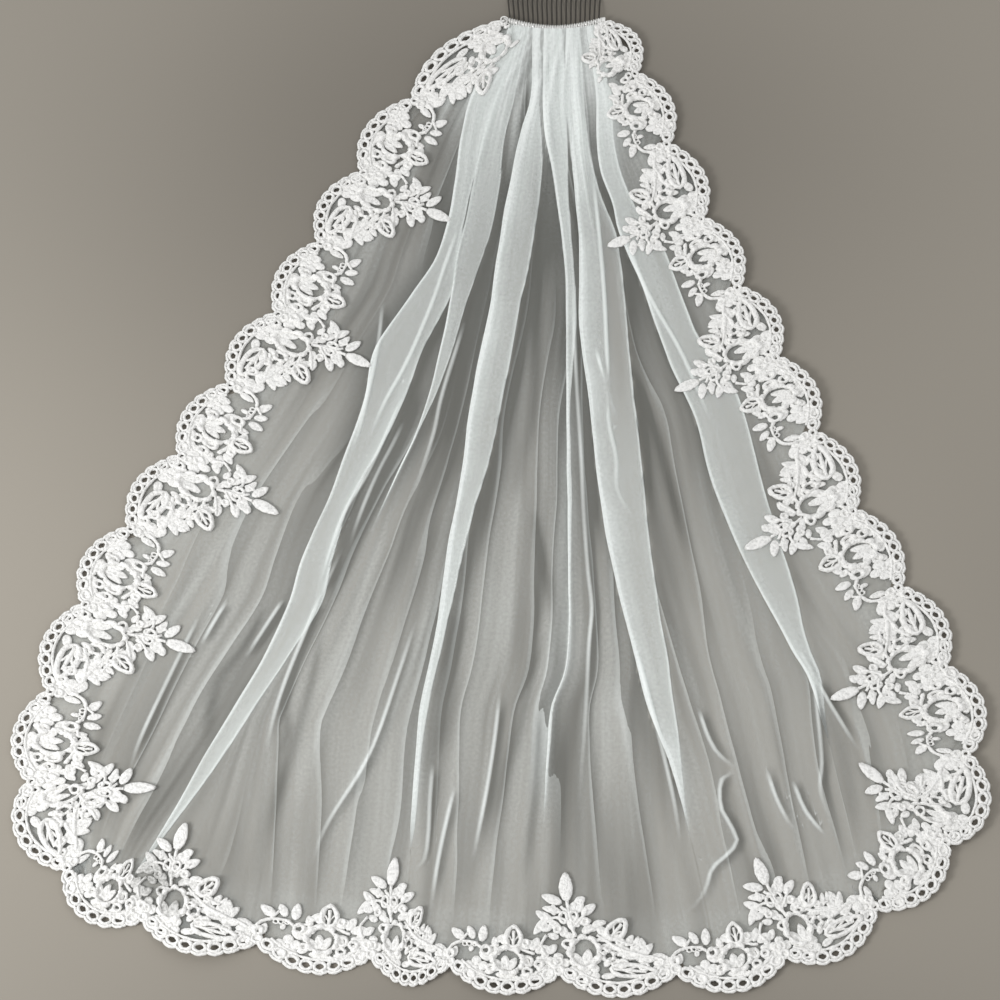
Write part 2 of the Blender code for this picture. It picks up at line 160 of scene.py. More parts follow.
# Creases of the open cloth: kind, width, height, and the line that each follows, from the comb down
CREASES = (
    ("line", 1.3, 1.2, ((-30, 134), (-39, 100), (-52, 51), (-58, 18), (-68, -19), (-77, -50))),
    ("line", 1.3, 1.0, ((71, 190), (71, 103), (75, 4), (77, -63), (80, -119), (83, -155),
                        (80, -190), (77, -242), (74, -283), (71, -314), (68, -354))),
    ("line", 1.1, 0.8, ((89, 304), (95, 226), (99, 154), (101, 53), (101, 26), (107, -10),
                        (108, -44), (129, -80))),
    ("line", 0.9, 0.6, ((90, 103), (101, 60), (108, 30))),
    ("soft", 4.0, 3.0, ((-51, -119), (-61, -161), (-77, -215), (-99, -277), (-116, -306),
                        (-132, -335), (-142, -374), (-147, -392))),
    ("line", 2.0, 1.0, ((-239, -148), (-251, -171), (-261, -192))),
    ("line", 2.0, 1.0, ((-190, -148), (-207, -178), (-221, -203))),
    ("line", 1.2, 1.0, ((-36, -318), (-42, -344), (-50, -384), (-55, -421), (-57, -440))),
    ("line", 1.4, 1.0, ((-262, -160), (-284, -214), (-308, -276), (-318, -312))),
    ("line", 1.4, 1.0, ((-72, -166), (-88, -222), (-112, -296), (-146, -356), (-160, -398))),
    ("line", 1.4, 1.0, ((2, -232), (-3, -280), (-11, -333), (-23, -395))),
    ("line", 1.6, 1.2, ((262, -196), (271, -208), (282, -233), (297, -262), (312, -290))),
    ("line", 1.6, 1.2, ((274, -206), (277, -246), (279, -297), (276, -324), (283, -352))),
    ("line", 1.2, 0.8, ((120, -190), (136, -260), (150, -330), (156, -380))),
    ("line", 1.2, 0.8, ((-138, -96), (-166, -170), (-190, -240), (-202, -300))),
    ("line", 1.3, 1.2, ((-56, -300), (-58, -334), (-59, -364), (-62, -386), (-71, -397))),
    ("line", 2.6, 1.2, ((174, -250), (182, -277), (191, -293), (207, -307))),
    ("line", 2.8, 1.8, ((211, -306), (193, -314), (190, -326), (191, -342), (198, -356), (203, -372),
                        (189, -387), (181, -395), (175, -413), (165, -427), (148, -441))),
    ("line", 2.2, 1.2, ((231, -306), (239, -334), (251, -360))),
    ("line", 2.4, 1.2, ((253, -316), (263, -344), (281, -368))),
    ("line", 0.8, 0.6, ((-84, 62), (-104, 8), (-118, -26), (-136, -60), (-150, -104), (-160, -146))),
    ("line", 0.8, 0.6, ((118, 226), (140, 160), (170, 96), (196, 20))),
    ("soft", 5.0, 2.0, ((-205, -10), (-238, -80), (-276, -150), (-318, -224))),
    ("soft", 6.0, 2.5, ((-96, -70), (-112, -130), (-134, -210), (-160, -300), (-172, -360))),
    ("soft", 7.0, 2.5, ((22, -20), (20, -110), (12, -200), (4, -270))),
    ("soft", 6.0, 2.0, ((48, -150), (46, -240), (40, -320), (36, -400))),
    ("soft", 5.0, 2.5, ((108, -220), (112, -290), (116, -360), (118, -420))),
    ("soft", 5.0, 2.0, ((176, 10), (190, -70), (210, -150), (236, -230))),
    ("soft", 6.0, 2.0, ((286, -20), (306, -90), (330, -160), (346, -220))),
    ("soft", 5.0, 2.0, ((150, -160), (166, -220), (180, -262))),
    ("dark", 4.0, -0.4, ((-204, -148), (-214, -175), (-227, -199), (-242, -223), (-250, -253),
                         (-249, -292))),
    ("dark", 3.5, -0.4, ((-175, -201), (-182, -232), (-184, -253), (-182, -273), (-192, -302))),
    ("dark", 4.5, -0.4, ((-152, -169), (-166, -242), (-176, -283), (-193, -354), (-195, -394))),
    ("dark", 7.0, -0.4, ((-68, 71), (-78, 34), (-95, -12), (-107, -39), (-119, -62), (-136, -105),
                         (-148, -146), (-158, -180))),
    ("dark", 7.5, -0.4, ((-30, 110), (-36, 71), (-41, 26), (-47, -6), (-56, -33), (-69, -62),
                         (-79, -95), (-90, -135), (-102, -179), (-110, -205))),
    ("dark", 5.0, -0.4, ((24, 120), (16, 71), (6, 34), (-2, -3), (-7, -40), (-12, -76), (-20, -112),
                         (-29, -153))),
    ("dark", 7.5, -0.4, ((-31, -150), (-38, -200), (-45, -260), (-55, -300), (-60, -320))),
    ("dark", 4.5, -0.4, ((34, 300), (38, 230), (36, 150), (34, 71), (30, 26), (25, -3), (19, -40),
                         (14, -90))),
    ("dark", 4.0, -0.4, ((32, -55), (37, -91), (44, -133), (46, -170))),
    ("dark", 5.0, -0.4, ((44, -169), (28, -228), (17, -273), (5, -314), (-8, -370), (-24, -412))),
    ("dark", 4.0, -0.4, ((37, -242), (33, -320), (28, -370), (20, -425))),
    ("dark", 2.5, -0.4, ((73, 130), (79, 60), (84, 0), (88, -60), (92, -110))),
    ("dark", 4.0, -0.4, ((125, 90), (138, 40), (148, 0), (160, -60), (176, -120))),
    ("dark", 4.0, -0.4, ((89, 380), (91, 340), (93, 300))),
    ("line", 1.2, 0.6, ((-37, 233), (-49, 193), (-60, 155), (-73, 117), (-86, 84), (-104, 46), (-119, 4))),
    ("line", 1.2, 0.8, ((-107, 155), (-110, 113), (-117, 66), (-125, 25), (-134, -8))),
    ("line", 1.2, 0.8, ((-85, 30), (-96, 4), (-108, -22), (-122, -60), (-133, -97))),
    ("dark", 2.2, -0.3, ((71, 132), (74, 103), (77, 63), (81, 10), (87, -50), (95, -109))),
    ("thin", 11.0, -0.2, ((92, 352), (102, 226), (107, 165), (111, 114), (114, 53), (117, 10), (123, -40))),
)
# Kind of crease: opacity that it adds, shade that it adds. A dark crease is a streak of painted shade, with
# a slight dip in the mesh.
CREASE_KINDS = {"line": (0.03, 0.0), "soft": (0.10, 0.0), "dark": (-0.02, 0.50), "thin": (-0.12, 0.0)}

# How far the lace's motifs stand in from its eyelet edge: neck number, shift, stretch of the sprays
MOTIF_PLACES = (
    (0, 12, 1.00),
    (2, 15, 1.00),
    (5, 18, 1.06),
    (8, 19, 1.10),
    (10, 18, 1.10),
    (12, 6, 1.00),
    (14, 4, 1.00),
    (18, 4, 1.00),
    (20, 14, 1.05),
    (23, 18, 1.06),
    (27, 18, 1.04),
    (29, 15, 1.00),
    (31, 12, 1.00),
)

# Gathers below the comb: share across the veil, width in shares, reach down, height, opacity added
GATHERS = (
    (0.10, 0.020, 60, 2.0, 0.15),
    (0.16, 0.016, 110, 2.5, 0.20),
    (0.24, 0.014, 150, 3.0, 0.25),
    (0.31, 0.012, 120, 2.6, 0.20),
    (0.37, 0.014, 190, 3.2, 0.22),
    (0.43, 0.010, 120, 2.4, 0.15),
    (0.49, 0.012, 210, 3.4, 0.30),
    (0.55, 0.010, 130, 2.4, 0.15),
    (0.61, 0.014, 220, 3.4, 0.28),
    (0.67, 0.010, 140, 2.6, 0.15),
    (0.73, 0.012, 180, 3.0, 0.20),
    (0.79, 0.010, 120, 2.2, 0.15),
    (0.85, 0.016, 160, 2.6, 0.22),
    (0.92, 0.018, 70, 2.0, 0.15),
)

# Where the open cloth lies denser or thinner: middle x, y, radius along x, along y, opacity added
HAZE = (
    (-225, -210, 110, 150, 0.11),
    (82, -250, 26, 110, 0.10),
    (-120, -330, 90, 110, 0.05),
    (-95, -60, 45, 120, 0.05),
    (-70, 320, 42, 100, -0.13),
    (40, -280, 110, 160, 0.07),
    (60, -40, 45, 160, 0.05),
    (-20, -160, 50, 130, 0.05),
    (235, -120, 60, 120, 0.03),
)
FINE_GATHERS = 44
TULLE_ROWS = 118
ROW_CROWDING = 1.08         # above 1, the rows lie closer together at the comb
ROW_SAMPLES = 900           # places at which a row is measured before its folds are laid
FORWARD_COLUMNS = (170, 66, 66, 66, 62, 84, 130)      # up to each fold's right edge, and past the last
BACK_COLUMNS = 30           # back from a fold's right edge to its left one
SHADE_LEFT = (0.75, 0.30, 0.75, 0.80, 0.60, 0.50)     # shade on the cloth left of each fold
SHADE_RIGHT = (0.75, 0.65, 0.95, 0.60, 0.65, 0.35)
SHADE_WIDTH = 18.0
EDGE_STRAY = 1.1            # how far a fold's edges wander off their table
EDGE_LIGHT = 0.70           # light on a fold's edges, and how much it comes and goes
EDGE_LIGHT_CHANGE = 0.36
SOFT_LIGHT_REACH = 8.0
FOLD_FALL_AWAY = 9.0        # width over which a fold's top layer comes down to the cloth beside it
FOLD_OPENS = (-25, 60)      # round its last level, a fold opens out over this stretch
TURN_WIDTH = 1.2            # width of the rise beside a fold's turned edge
TURN_SHARE = 0.2            # share of the layer that lies back over which it turns, at each end
NO_CREASE = 50.0            # distance from a crease that stands for none near
FOLD_THINNING = 0.16        # share of its opacity that folded net gives up to its bright edges
HEAD_OPACITY = 0.15         # added under the comb, and again over the thick middle of the heading
HEADING_OPACITY = 0.13
GLOW_OPACITY = 1.25         # added for a fold's light
LACE_GROUND_OPACITY = 0.05
CREASE_ENDS = (0.18, 0.65)  # a crease rises up to the first share of its length, and fades from the second
CREASE_REACH = (6, 13)      # a bright crease's light ends between these distances
CREASE_APART = (1.5, 7)     # where two bright creases lie closer than this, their light fades
PLEATS_ACROSS = 27          # crisp pleats across the whole cloth, painted in light and shade only
PLEAT_LIP = (0.84, 0.97)    # share of a pleat at which its bright lip begins, and at which it is whole
LIP_LIGHT = 0.15
CREASE_LIGHT = 0.62
OPEN_SHADE = 0.10           # shade on all open cloth, and beside a crease
FLANK_SHADE = 0.75
TROUGH_OPACITY = 0.5        # how much of the floor a full shade hides
CLOTH_WIDTH = 1200.0        # of the net that shows, laid flat
CLOTH_LENGTH = 950.0
TULLE_FLOOR = 0.4           # lowest height of the net above the table


def metres(points):
    """Tables' millimetres to metres from the origin."""
    moved = np.array(points, float)
    moved[:, 0] -= MIDDLE_X
    moved[:, 1] -= MIDDLE_Y
    return moved * MM


def ease(low, high, at):
    """0 below low, 1 above high, and a soft step between."""
    u = np.clip((np.asarray(at, float) - low) / (high - low), 0.0, 1.0)
    return u * u * (3 - 2 * u)


def smooth(rows, at):
    """A table's columns at some keys, on a smooth curve through its rows."""
    table = np.array(rows, float)
    keys = table[:, 0]
    values = table[:, 1:]
    at = np.clip(np.atleast_1d(np.asarray(at, float)), keys[0], keys[-1])
    place = np.clip(np.searchsorted(keys, at, side="right") - 1, 0, len(keys) - 2)
    before = np.maximum(place - 1, 0)
    after = np.minimum(place + 2, len(keys) - 1)
    span = keys[place + 1] - keys[place]
    u = ((at - keys[place]) / span)[:, None]
    leave = (values[place + 1] - values[before]) * (span / (keys[place + 1] - keys[before]))[:, None]
    arrive = (values[after] - values[place]) * (span / (keys[after] - keys[place]))[:, None]
    return ((2 * u ** 3 - 3 * u ** 2 + 1) * values[place] + (u ** 3 - 2 * u ** 2 + u) * leave
            + (3 * u ** 2 - 2 * u ** 3) * values[place + 1] + (u ** 3 - u ** 2) * arrive)


def border_frame(neck):
    """Points of the neck line, the direction along it and the direction into the veil."""
    neck = np.atleast_1d(np.asarray(neck, float))
    point = smooth(BORDER, neck)[:, :2]
    along = (smooth(BORDER, np.minimum(neck + 0.05, NECKS))
             - smooth(BORDER, np.maximum(neck - 0.05, 0)))[:, :2]
    along /= np.linalg.norm(along, axis=1)[:, None]
    across = np.stack([-along[:, 1], along[:, 0]], axis=1)
    return point, along, across


def border_point(neck, inward):
    point, _, across = border_frame(neck)
    return point + across * np.atleast_1d(inward)[:, None]


def scallop_reach(neck):
    """How far out the scalloped edge lies from the neck line."""
    wave = np.sin(np.pi * (np.asarray(neck, float) % 1.0))
    return SCALLOP_NECK + SCALLOP_BULGE * np.clip(wave, 0, 1) ** SCALLOP_ROUNDNESS


def comb_line(share):
    """The gathered top edge, from the comb's left end (0) to its right end (1)."""
    share = np.asarray(share, float)
    left = BORDER[0]
    right = BORDER[-1]
    x = left[1] + (right[1] - left[1]) * share
    y = left[2] + (right[2] - left[2]) * share - SPINE_SAG * np.sin(np.pi * share)
    return np.stack([x, y], axis=-1)


def panel_points(share, fall):
    """Points of the laid veil's neck-line outline, filled in: share across, fall from the comb (0)."""
    share = np.asarray(share, float)[:, None]
    hem = border_point(LEFT_CORNER + (RIGHT_CORNER - LEFT_CORNER) * share[:, 0], 0.0)
    top = comb_line(share[:, 0])
    left = border_point(LEFT_CORNER * fall, 0.0)
    right = border_point(NECKS - (NECKS - RIGHT_CORNER) * fall, 0.0)
    sides = (1 - share) * left + share * right
    ends = (1 - fall) * top + fall * hem
    corners = (1 - fall) * ((1 - share) * comb_line(0) + share * comb_line(1))
    corners = corners + fall * ((1 - share) * border_point(LEFT_CORNER, 0.0)
                                + share * border_point(RIGHT_CORNER, 0.0))
    return sides + ends - corners


def lace_lift(neck, inward):
    """Height of the lace's underside off the table."""
    lifts = smooth(LACE_LIFT, neck)
    place = ease(-20, 50, inward)
    return lifts[:, 0] * (1 - place) + lifts[:, 1] * place


# ---------------------------------------------------------------------------
# Modelling helpers
# ---------------------------------------------------------------------------
def deselect():
    if bpy.context.object and bpy.context.object.mode != "OBJECT":
        bpy.ops.object.mode_set(mode="OBJECT")
    bpy.ops.object.select_all(action="DESELECT")


def pick(things):
    """Selects these objects and nothing else, the first one active."""
    deselect()
    for thing in things:
        thing.select_set(True)
    bpy.context.view_layer.objects.active = things[0]


def coordinates(data):
    flat = np.empty(len(data.vertices) * 3, np.float32)
    data.vertices.foreach_get("co", flat)
    return flat.reshape(-1, 3).astype(float)


def set_coordinates(data, points):
    data.vertices.foreach_set("co", np.asarray(points, np.float32).ravel())
    data.update()


def store(data, name, values):
    """Keeps one number at each vertex for the material."""
    attribute = data.attributes.get(name) or data.attributes.new(name, "FLOAT", "POINT")
    attribute.data.foreach_set("value", np.asarray(values, np.float32))


def join(things, name):
    pick(things)
    if len(things) > 1:
        bpy.ops.object.join()
    joined = bpy.context.object
    joined.name = name
    joined.data.name = name
    return joined


def finish_piece(piece, material):
    """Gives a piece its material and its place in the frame."""
    piece.data.materials.clear()
    piece.data.materials.append(material)
    pick([piece])
    bpy.ops.object.transform_apply(location=True, rotation=True, scale=True)
    deselect()
    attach(piece, "root")


def duplicate(thing):
    """A linked copy of an object, with its own mesh."""
    copy = thing.copy()
    copy.data = thing.data.copy()
    bpy.context.scene.collection.objects.link(copy)
    return copy


def cords(name, lines, resolution=1):
    """Round cords through points, as one mesh. A line is (points in metres, radius, closed)."""
    data = bpy.data.curves.new(name, "CURVE")
    data.dimensions = "3D"
    data.bevel_depth = 1.0
    data.bevel_resolution = resolution
    data.use_fill_caps = True
    for points, radius, closed in lines:
        spline = data.splines.new("POLY")
        spline.points.add(len(points) - 1)
        radii = np.broadcast_to(radius, len(points))
        packed = np.concatenate([np.asarray(points, float), np.ones((len(points), 1))], axis=1)
        spline.points.foreach_set("co", packed.astype(np.float32).ravel())
        spline.points.foreach_set("radius", radii.astype(np.float32))
        spline.use_cyclic_u = closed
        spline.use_smooth = True
    thing = bpy.data.objects.new(name, data)
    bpy.context.scene.collection.objects.link(thing)
    pick([thing])
    bpy.ops.object.convert(target="MESH")
    bpy.ops.object.mode_set(mode="EDIT")
    bpy.ops.mesh.select_all(action="SELECT")
    bpy.ops.mesh.remove_doubles(threshold=0.000001)
    bpy.ops.mesh.normals_make_consistent(inside=False)
    bpy.ops.object.mode_set(mode="OBJECT")
    return bpy.context.object


# ---------------------------------------------------------------------------
# Materials
# ---------------------------------------------------------------------------
class Value:
    """A number in a material's nodes. Sums and products with it become Math nodes."""

    def __init__(self, shader, socket):
        self.shader = shader
        self.socket = socket

    def do(self, operation, *others):
        values = {place: value for place, value in enumerate((self, *others))}
        made = self.shader.node("ShaderNodeMath", {"operation": operation}, values)
        return Value(self.shader, made.outputs[0])

    def turned(self, operation, other):
        made = self.shader.node("ShaderNodeMath", {"operation": operation}, {0: other, 1: self})
        return Value(self.shader, made.outputs[0])

    def __add__(self, other):
        return self.do("ADD", other)

    def __sub__(self, other):
        return self.do("SUBTRACT", other)

    def __mul__(self, other):
        return self.do("MULTIPLY", other)

    def __truediv__(self, other):
        return self.do("DIVIDE", other)

    def __rsub__(self, other):
        return self.turned("SUBTRACT", other)

    __radd__ = __add__
    __rmul__ = __mul__

    def least(self, other):
        return self.do("MINIMUM", other)

    def between(self, low, high):
        """0 up to low, 1 from high on, and a soft step between."""
        made = self.shader.node("ShaderNodeMapRange", {"interpolation_type": "SMOOTHSTEP"},
                                {"Value": self, "From Min": low, "From Max": high})
        return Value(self.shader, made.outputs["Result"])


class Shader:
    """A material and its nodes."""

    def __init__(self, name):
        self.material = bpy.data.materials.new(name)
        self.material.use_nodes = True
        self.tree = self.material.node_tree
        self.surface = self.tree.nodes["Principled BSDF"]

    def node(self, kind, settings=None, inputs=None):
        made = self.tree.nodes.new(kind)
        for key, value in (settings or {}).items():
            setattr(made, key, value)
        for key, value in (inputs or {}).items():
            self.feed(made.inputs[key], value)
        return made

    def feed(self, socket, value):
        if isinstance(value, Value):
            self.tree.links.new(value.socket, socket)
        elif isinstance(value, bpy.types.NodeSocket):
            self.tree.links.new(value, socket)
        else:
            socket.default_value = value

    def set(self, **inputs):
        for key, value in inputs.items():
            self.feed(self.surface.inputs[key.replace("_", " ")], value)

    def number(self, name):
        """A number that the mesh keeps at its vertices."""
        made = self.node("ShaderNodeAttribute", {"attribute_name": name})
        return Value(self, made.outputs["Fac"])

    def coordinate(self, kind="Object"):
        return self.node("ShaderNodeTexCoord").outputs[kind]

    def scaled(self, vector, scale):
        made = self.node("ShaderNodeMapping", {}, {"Vector": vector, "Scale": scale})
        return made.outputs["Vector"]

    def noise(self, vector, scale, detail=3.0, dimensions="3D"):
        made = self.node("ShaderNodeTexNoise", {"noise_dimensions": dimensions},
                         {"Vector": vector, "Scale": scale, "Detail": detail})
        return Value(self, made.outputs["Fac"])

    def parts(self, vector):
        """A vector's x, y and z."""
        made = self.node("ShaderNodeSeparateXYZ", {}, {0: vector})
        return [Value(self, made.outputs[number]) for number in range(3)]

    def mound(self, x, y, middle, radii):
        """1 at a place, falling softly to 0 round it."""
        across = (x - middle[0]) / radii[0]
        along = (y - middle[1]) / radii[1]
        return (0.0 - across * across - along * along).do("EXPONENT")

    def blend(self, factor, first, second):
        """Mix of two colours."""
        made = self.node("ShaderNodeMix", {"data_type": "RGBA"},
                         {"Factor": factor, 6: first, 7: second})
        return made.outputs[2]

    def bump(self, height, strength, distance):
        made = self.node("ShaderNodeBump", {},
                         {"Height": height, "Strength": strength, "Distance": distance})
        return made.outputs["Normal"]


def colour(values, share=1.0):
    return (values[0] * share, values[1] * share, values[2] * share, 1.0)


def tulle_material(settings):
    """Fine white net: nearly clear in one layer, whiter where layers and gathers stack, with painted shade
    laid on as a dark film and painted highlights on its pleats and creases.
    """
    shader = Shader("tulle_net")
    cloth = shader.coordinate("UV")
    place = shader.coordinate("Object")
    cells = shader.node("ShaderNodeTexVoronoi",
                        {"voronoi_dimensions": "2D", "feature": "DISTANCE_TO_EDGE"},
                        {"Vector": place, "Scale": 1.0 / (settings.net_cell * 1.1)})
    threads = 1.0 - Value(shader, cells.outputs["Distance"]).between(0.03, 0.16)
    streaks = shader.noise(shader.scaled(cloth, (95.0, 2.4, 1.0)), 1.0, 3.0, "2D")
    grain = shader.noise(place, 330.0, 1.0, "2D")
    opacity = shader.number("opacity")
    shade = shader.number("shade")
    offset = shader.number("crease")
    crease_light = shader.number("crease_light")
    crease = (1.0 - offset.do("ABSOLUTE").between(0.1, settings.crease_width / MM)) * crease_light
    away = 0.0 - offset
    flank = away.between(0.8, 2.6) * (1.0 - away.between(3.0, 12.0)) * crease_light
    open_cloth = 1.0 - shader.number("folded").between(0.1, 0.8)
    somewhere = shader.number("somewhere")
    # The crisp pleats are painted only: a painted highlight on each one's lip and painted shade down its
    # falling side.
    slope = (shader.number("phase") + streaks * 0.10).do("FRACT")
    lip = slope.between(*PLEAT_LIP) * somewhere * open_cloth
    fall = 1.0 - slope
    # Painted shade in the soft streaks and down the pleats, on all open cloth, and beside each bright
    # crease.
    streak_shade = shader.number("streak_shade") + fall * fall * fall * somewhere * settings.pleats
    open_cloth_shade = OPEN_SHADE + flank * FLANK_SHADE + streak_shade * settings.streak_shade_strength
    trough = (shade + open_cloth_shade * open_cloth).least(1.0)
    unevenness = shader.number("unevenness") + streaks * 0.6
    net = (0.86 + threads * 0.3) * (0.82 + grain * 0.36)
    white = opacity * unevenness * net * (1.0 - trough * 0.75) + lip * LIP_LIGHT + crease * CREASE_LIGHT
    # The painted shade is a film of the shadow colour over net and floor.
    dark = trough * TROUGH_OPACITY * (1.0 - crease)
    alpha = (white + dark).least(0.97)
    shader.set(
        Alpha=alpha,
        Base_Color=shader.blend(dark / alpha, colour(settings.net_colour), colour(settings.shadow_colour)),
        Roughness=0.75,
    )
    return shader.material


def lace_material(settings):
    """Matt white embroidery, stitched and lumpy, with painted shade that greys it down in the gaps."""
    made = bpy.data.materials.get("lace_thread")
    if made:
        return made
    shader = Shader("lace_thread")
    place = shader.coordinate("Object")
    rise = shader.number("rise")
    stitches = shader.noise(place, 950.0, 1.0)
    lumps = shader.noise(place, 420.0, 1.0)
    # Painted shade: the lower the thread lies, the more of the gap shade colour it takes; the lumps vary its
    # tone at random.
    lit_and_tone = rise.between(0.0, 0.75) * 0.75 + lumps.between(0.32, 0.62) * 0.4
    shader.set(
        Base_Color=shader.blend(lit_and_tone.least(1.0), colour(settings.gap_shade_colour),
                                colour(settings.thread_colour)),
        Roughness=0.7,
        Normal=shader.bump(stitches * 0.5 + lumps, 0.9, 0.0012),
    )
    return shader.material


def wire_material(settings, name, tint):
    """Plated wire: fine drawn marks and a little dulling."""
    shader = Shader(name)
    place = shader.coordinate("Object")
    marks = shader.noise(shader.scaled(place, (1.0, 0.15, 1.0)), 2600.0, 2.0)
    dulling = shader.noise(place, 240.0, 3.0)
    shader.set(
        Base_Color=shader.blend(dulling, colour(tint), colour(tint, 0.72)),
        Metallic=1.0,
        Roughness=0.22 + marks * 0.14 + dulling * 0.12,
        Normal=shader.bump(marks, 0.15, 0.0001),
    )
    return shader.material


# Soft pools of shade and light on the floor, in metres: middle x, y, radii, how much darker
FLOOR_POOLS = (
    (0.0, 0.30, 0.36, 0.34, 0.34),
    (0.05, -0.57, 0.40, 0.13, 0.28),
    (0.50, -0.16, 0.14, 0.20, 0.07),
    (-0.47, -0.10, 0.16, 0.22, -0.10),
)


def floor_material(settings):
    """Plain warm grey with a faint wash, and pools of painted shade round the comb, the hem and the right,
    and of painted light on the left.
    """
    shader = Shader("studio_floor")
    place = shader.coordinate("Object")
    x, y = shader.parts(place)[:2]
    wash = shader.noise(place, 1.3, 2.0, "2D")
    tone_and_shade = 0.07 + wash * 0.10
    # Pools of painted shade and painted light on top of the wash's tone
    for middle_x, middle_y, radius_x, radius_y, darker in FLOOR_POOLS:
        tone_and_shade = tone_and_shade + shader.mound(x, y, (middle_x, middle_y), (radius_x, radius_y)) * darker
    shader.set(
        Base_Color=shader.blend(tone_and_shade, colour(settings.floor_colour, 1.18), (0.0, 0.0, 0.0, 1.0)),
        Roughness=0.85,
        Specular_IOR_Level=0.2,
    )
    return shader.material


# ---------------------------------------------------------------------------
# Tulle
# ---------------------------------------------------------------------------
def fold_rows(places):
    """A fold's table in order of -y, carried on past its end as cloth that lies open again."""
    rows = [(-y, left, right) for y, left, right in places]
    end, left, right = rows[-1]
    start, left_before, right_before = rows[-2]
    slope = (left + right - left_before - right_before) / 2 / (end - start)
    for further in (40.0, 200.0):
        middle = (left + right) / 2 + slope * further
        rows.append((end + further, middle + 2.0, middle - 2.0))
    return rows


def crossing(share, offset):
    """Share at which a rising row of offsets passes zero."""
    over = offset > 0
    if not over.any():
        return 1.0
    place = int(np.argmax(over))
    if place == 0:
        return 0.0
    before = offset[place - 1]
    step = before / (before - offset[place])
    return share[place - 1] + (share[place] - share[place - 1]) * step


def crowded(count):
    """Steps from 0 to 1 that lie closer together at both ends."""
    steps = np.arange(count + 1) / count
    return steps - 0.82 * np.sin(2 * np.pi * steps) / (2 * np.pi)


Fold = namedtuple("Fold", "left right left_x right_x depth left_line right_line left_light right_light "
                          "left_shade right_shade")


def row_folds(even, there):
    """The pressed folds where a row crosses them: the row's shares across, and its points there."""
    folds = []
    for number, (left_line, right_line, left_soft, right_soft, places) in enumerate(FOLDS):
        sides = smooth(fold_rows(places), -there[:, 1])
        for side in (0, 1):
            sides[:, side] += waver(there[:, 1], 3 * number + 1 + side) * EDGE_STRAY
        left, right = (crossing(even, there[:, 0] - sides[:, side]) for side in (0, 1))
        left_x, right_x = (np.interp(share, even, there[:, 0]) for share in (left, right))
        y = np.interp(left, even, there[:, 1])
        depth = float(ease(places[-1][0] + FOLD_OPENS[0], places[-1][0] + FOLD_OPENS[1], y))
        left_light = depth * (EDGE_LIGHT + EDGE_LIGHT_CHANGE * float(waver(y * 1.7, 3 * number + 3)[0]))
        right_light = depth * (EDGE_LIGHT - EDGE_LIGHT_CHANGE * float(waver(y * 1.4, 3 * number + 4)[0]))
        folds.append(Fold(left, right, left_x, right_x, depth, (left_line, left_soft),
                          (right_line, right_soft), left_light, right_light, SHADE_LEFT[number],
                          SHADE_RIGHT[number]))
    return folds


def tulle_row(fall, gap):
    """One row of the net across the veil, forward and back at each fold.

    Returns its points and, for each, its share across, its height, how much it lies in a fold, and
    the light and shade on it."""
    even = np.linspace(0.0, 1.0, ROW_SAMPLES)
    there = panel_points(even, fall)
    folds = row_folds(even, there)
    parts = [np.zeros((5, 1))]
    start = 0.0
    for before, after, count in zip([None] + folds, folds + [None], FORWARD_COLUMNS):
        stop = after.right if after else 1.0
        share = start + (stop - start) * crowded(count)[1:]
        x = np.interp(share, even, there[:, 0])
        height, inside, light, shade = np.zeros((4, len(share)))
        if before:
            away = ease(0, FOLD_FALL_AWAY, x - before.right_x)
            height += 2 * gap * before.depth * (1 - away)
            inside = np.maximum(inside, before.depth * (x < before.right_x) * (x > before.left_x))
            light += before.left_light * fold_glow(x - before.left_x, before.left_line)
            shade += before.depth * beside(x - before.right_x, before.right_shade)
        if after:
            near = np.exp(-((x - after.right_x) / TURN_WIDTH) ** 2)
            height += 0.5 * gap * after.depth * near
            inside = np.maximum(inside, after.depth * (x < after.right_x) * (x > after.left_x))
            light += after.right_light * fold_glow(after.right_x - x, after.right_line)
            shade += after.depth * beside(after.left_x - x, after.left_shade)
        parts.append(np.stack([share, height, inside, light, shade]))
        if after:
            parts.append(layer_back(after, even, there, gap, height[-1]))
            start = after.left
    fields = np.concatenate(parts, axis=1)
    return panel_points(fields[0], fall), fields


def layer_back(fold, even, there, gap, start_height):
    """The layer of a fold that lies back under its top layer, from its right edge to its left one."""
    steps = crowded(BACK_COLUMNS)[1:]
    share = fold.right + (fold.left - fold.right) * steps
    x = np.interp(share, even, there[:, 0])
    into = np.clip(1 - steps / TURN_SHARE, 0, 1) ** 2
    out = np.clip((steps - (1 - TURN_SHARE)) / TURN_SHARE, 0, 1) ** 2
    height = gap * fold.depth * (1 - into - out) + into * start_height + out * 1.9 * gap * fold.depth
    light = (fold.right_light * fold_glow(fold.right_x - x, fold.right_line)
             + fold.left_light * fold_glow(x - fold.left_x, fold.left_line))
    return np.stack([share, height, np.full(len(share), fold.depth), light, np.zeros(len(share))])


def waver(at, seed):
    """A smooth uneven run of numbers between about -1 and 1."""
    at = np.atleast_1d(np.asarray(at, float))
    shift = np.random.default_rng(seed).uniform(0, 2 * np.pi, 4)
    waves = [np.sin(at / length + turn) for length, turn in zip((61.0, 34.0, 19.0, 9.0), shift)]
    return 0.42 * waves[0] + 0.30 * waves[1] + 0.20 * waves[2] + 0.12 * waves[3]


def fold_glow(across, line):
    """Light along a fold's turned edge: a bright line, and a soft band inside it."""
    width, soft = line
    inside = np.exp(-np.maximum(across, 0) / SOFT_LIGHT_REACH) * (across > 0)
    return np.exp(-(across / width) ** 2) + soft * inside


def beside(away, strength):
    """Shade on the open cloth just outside a fold."""
    return strength * np.exp(-(away / SHADE_WIDTH) ** 2) * (away > 0)


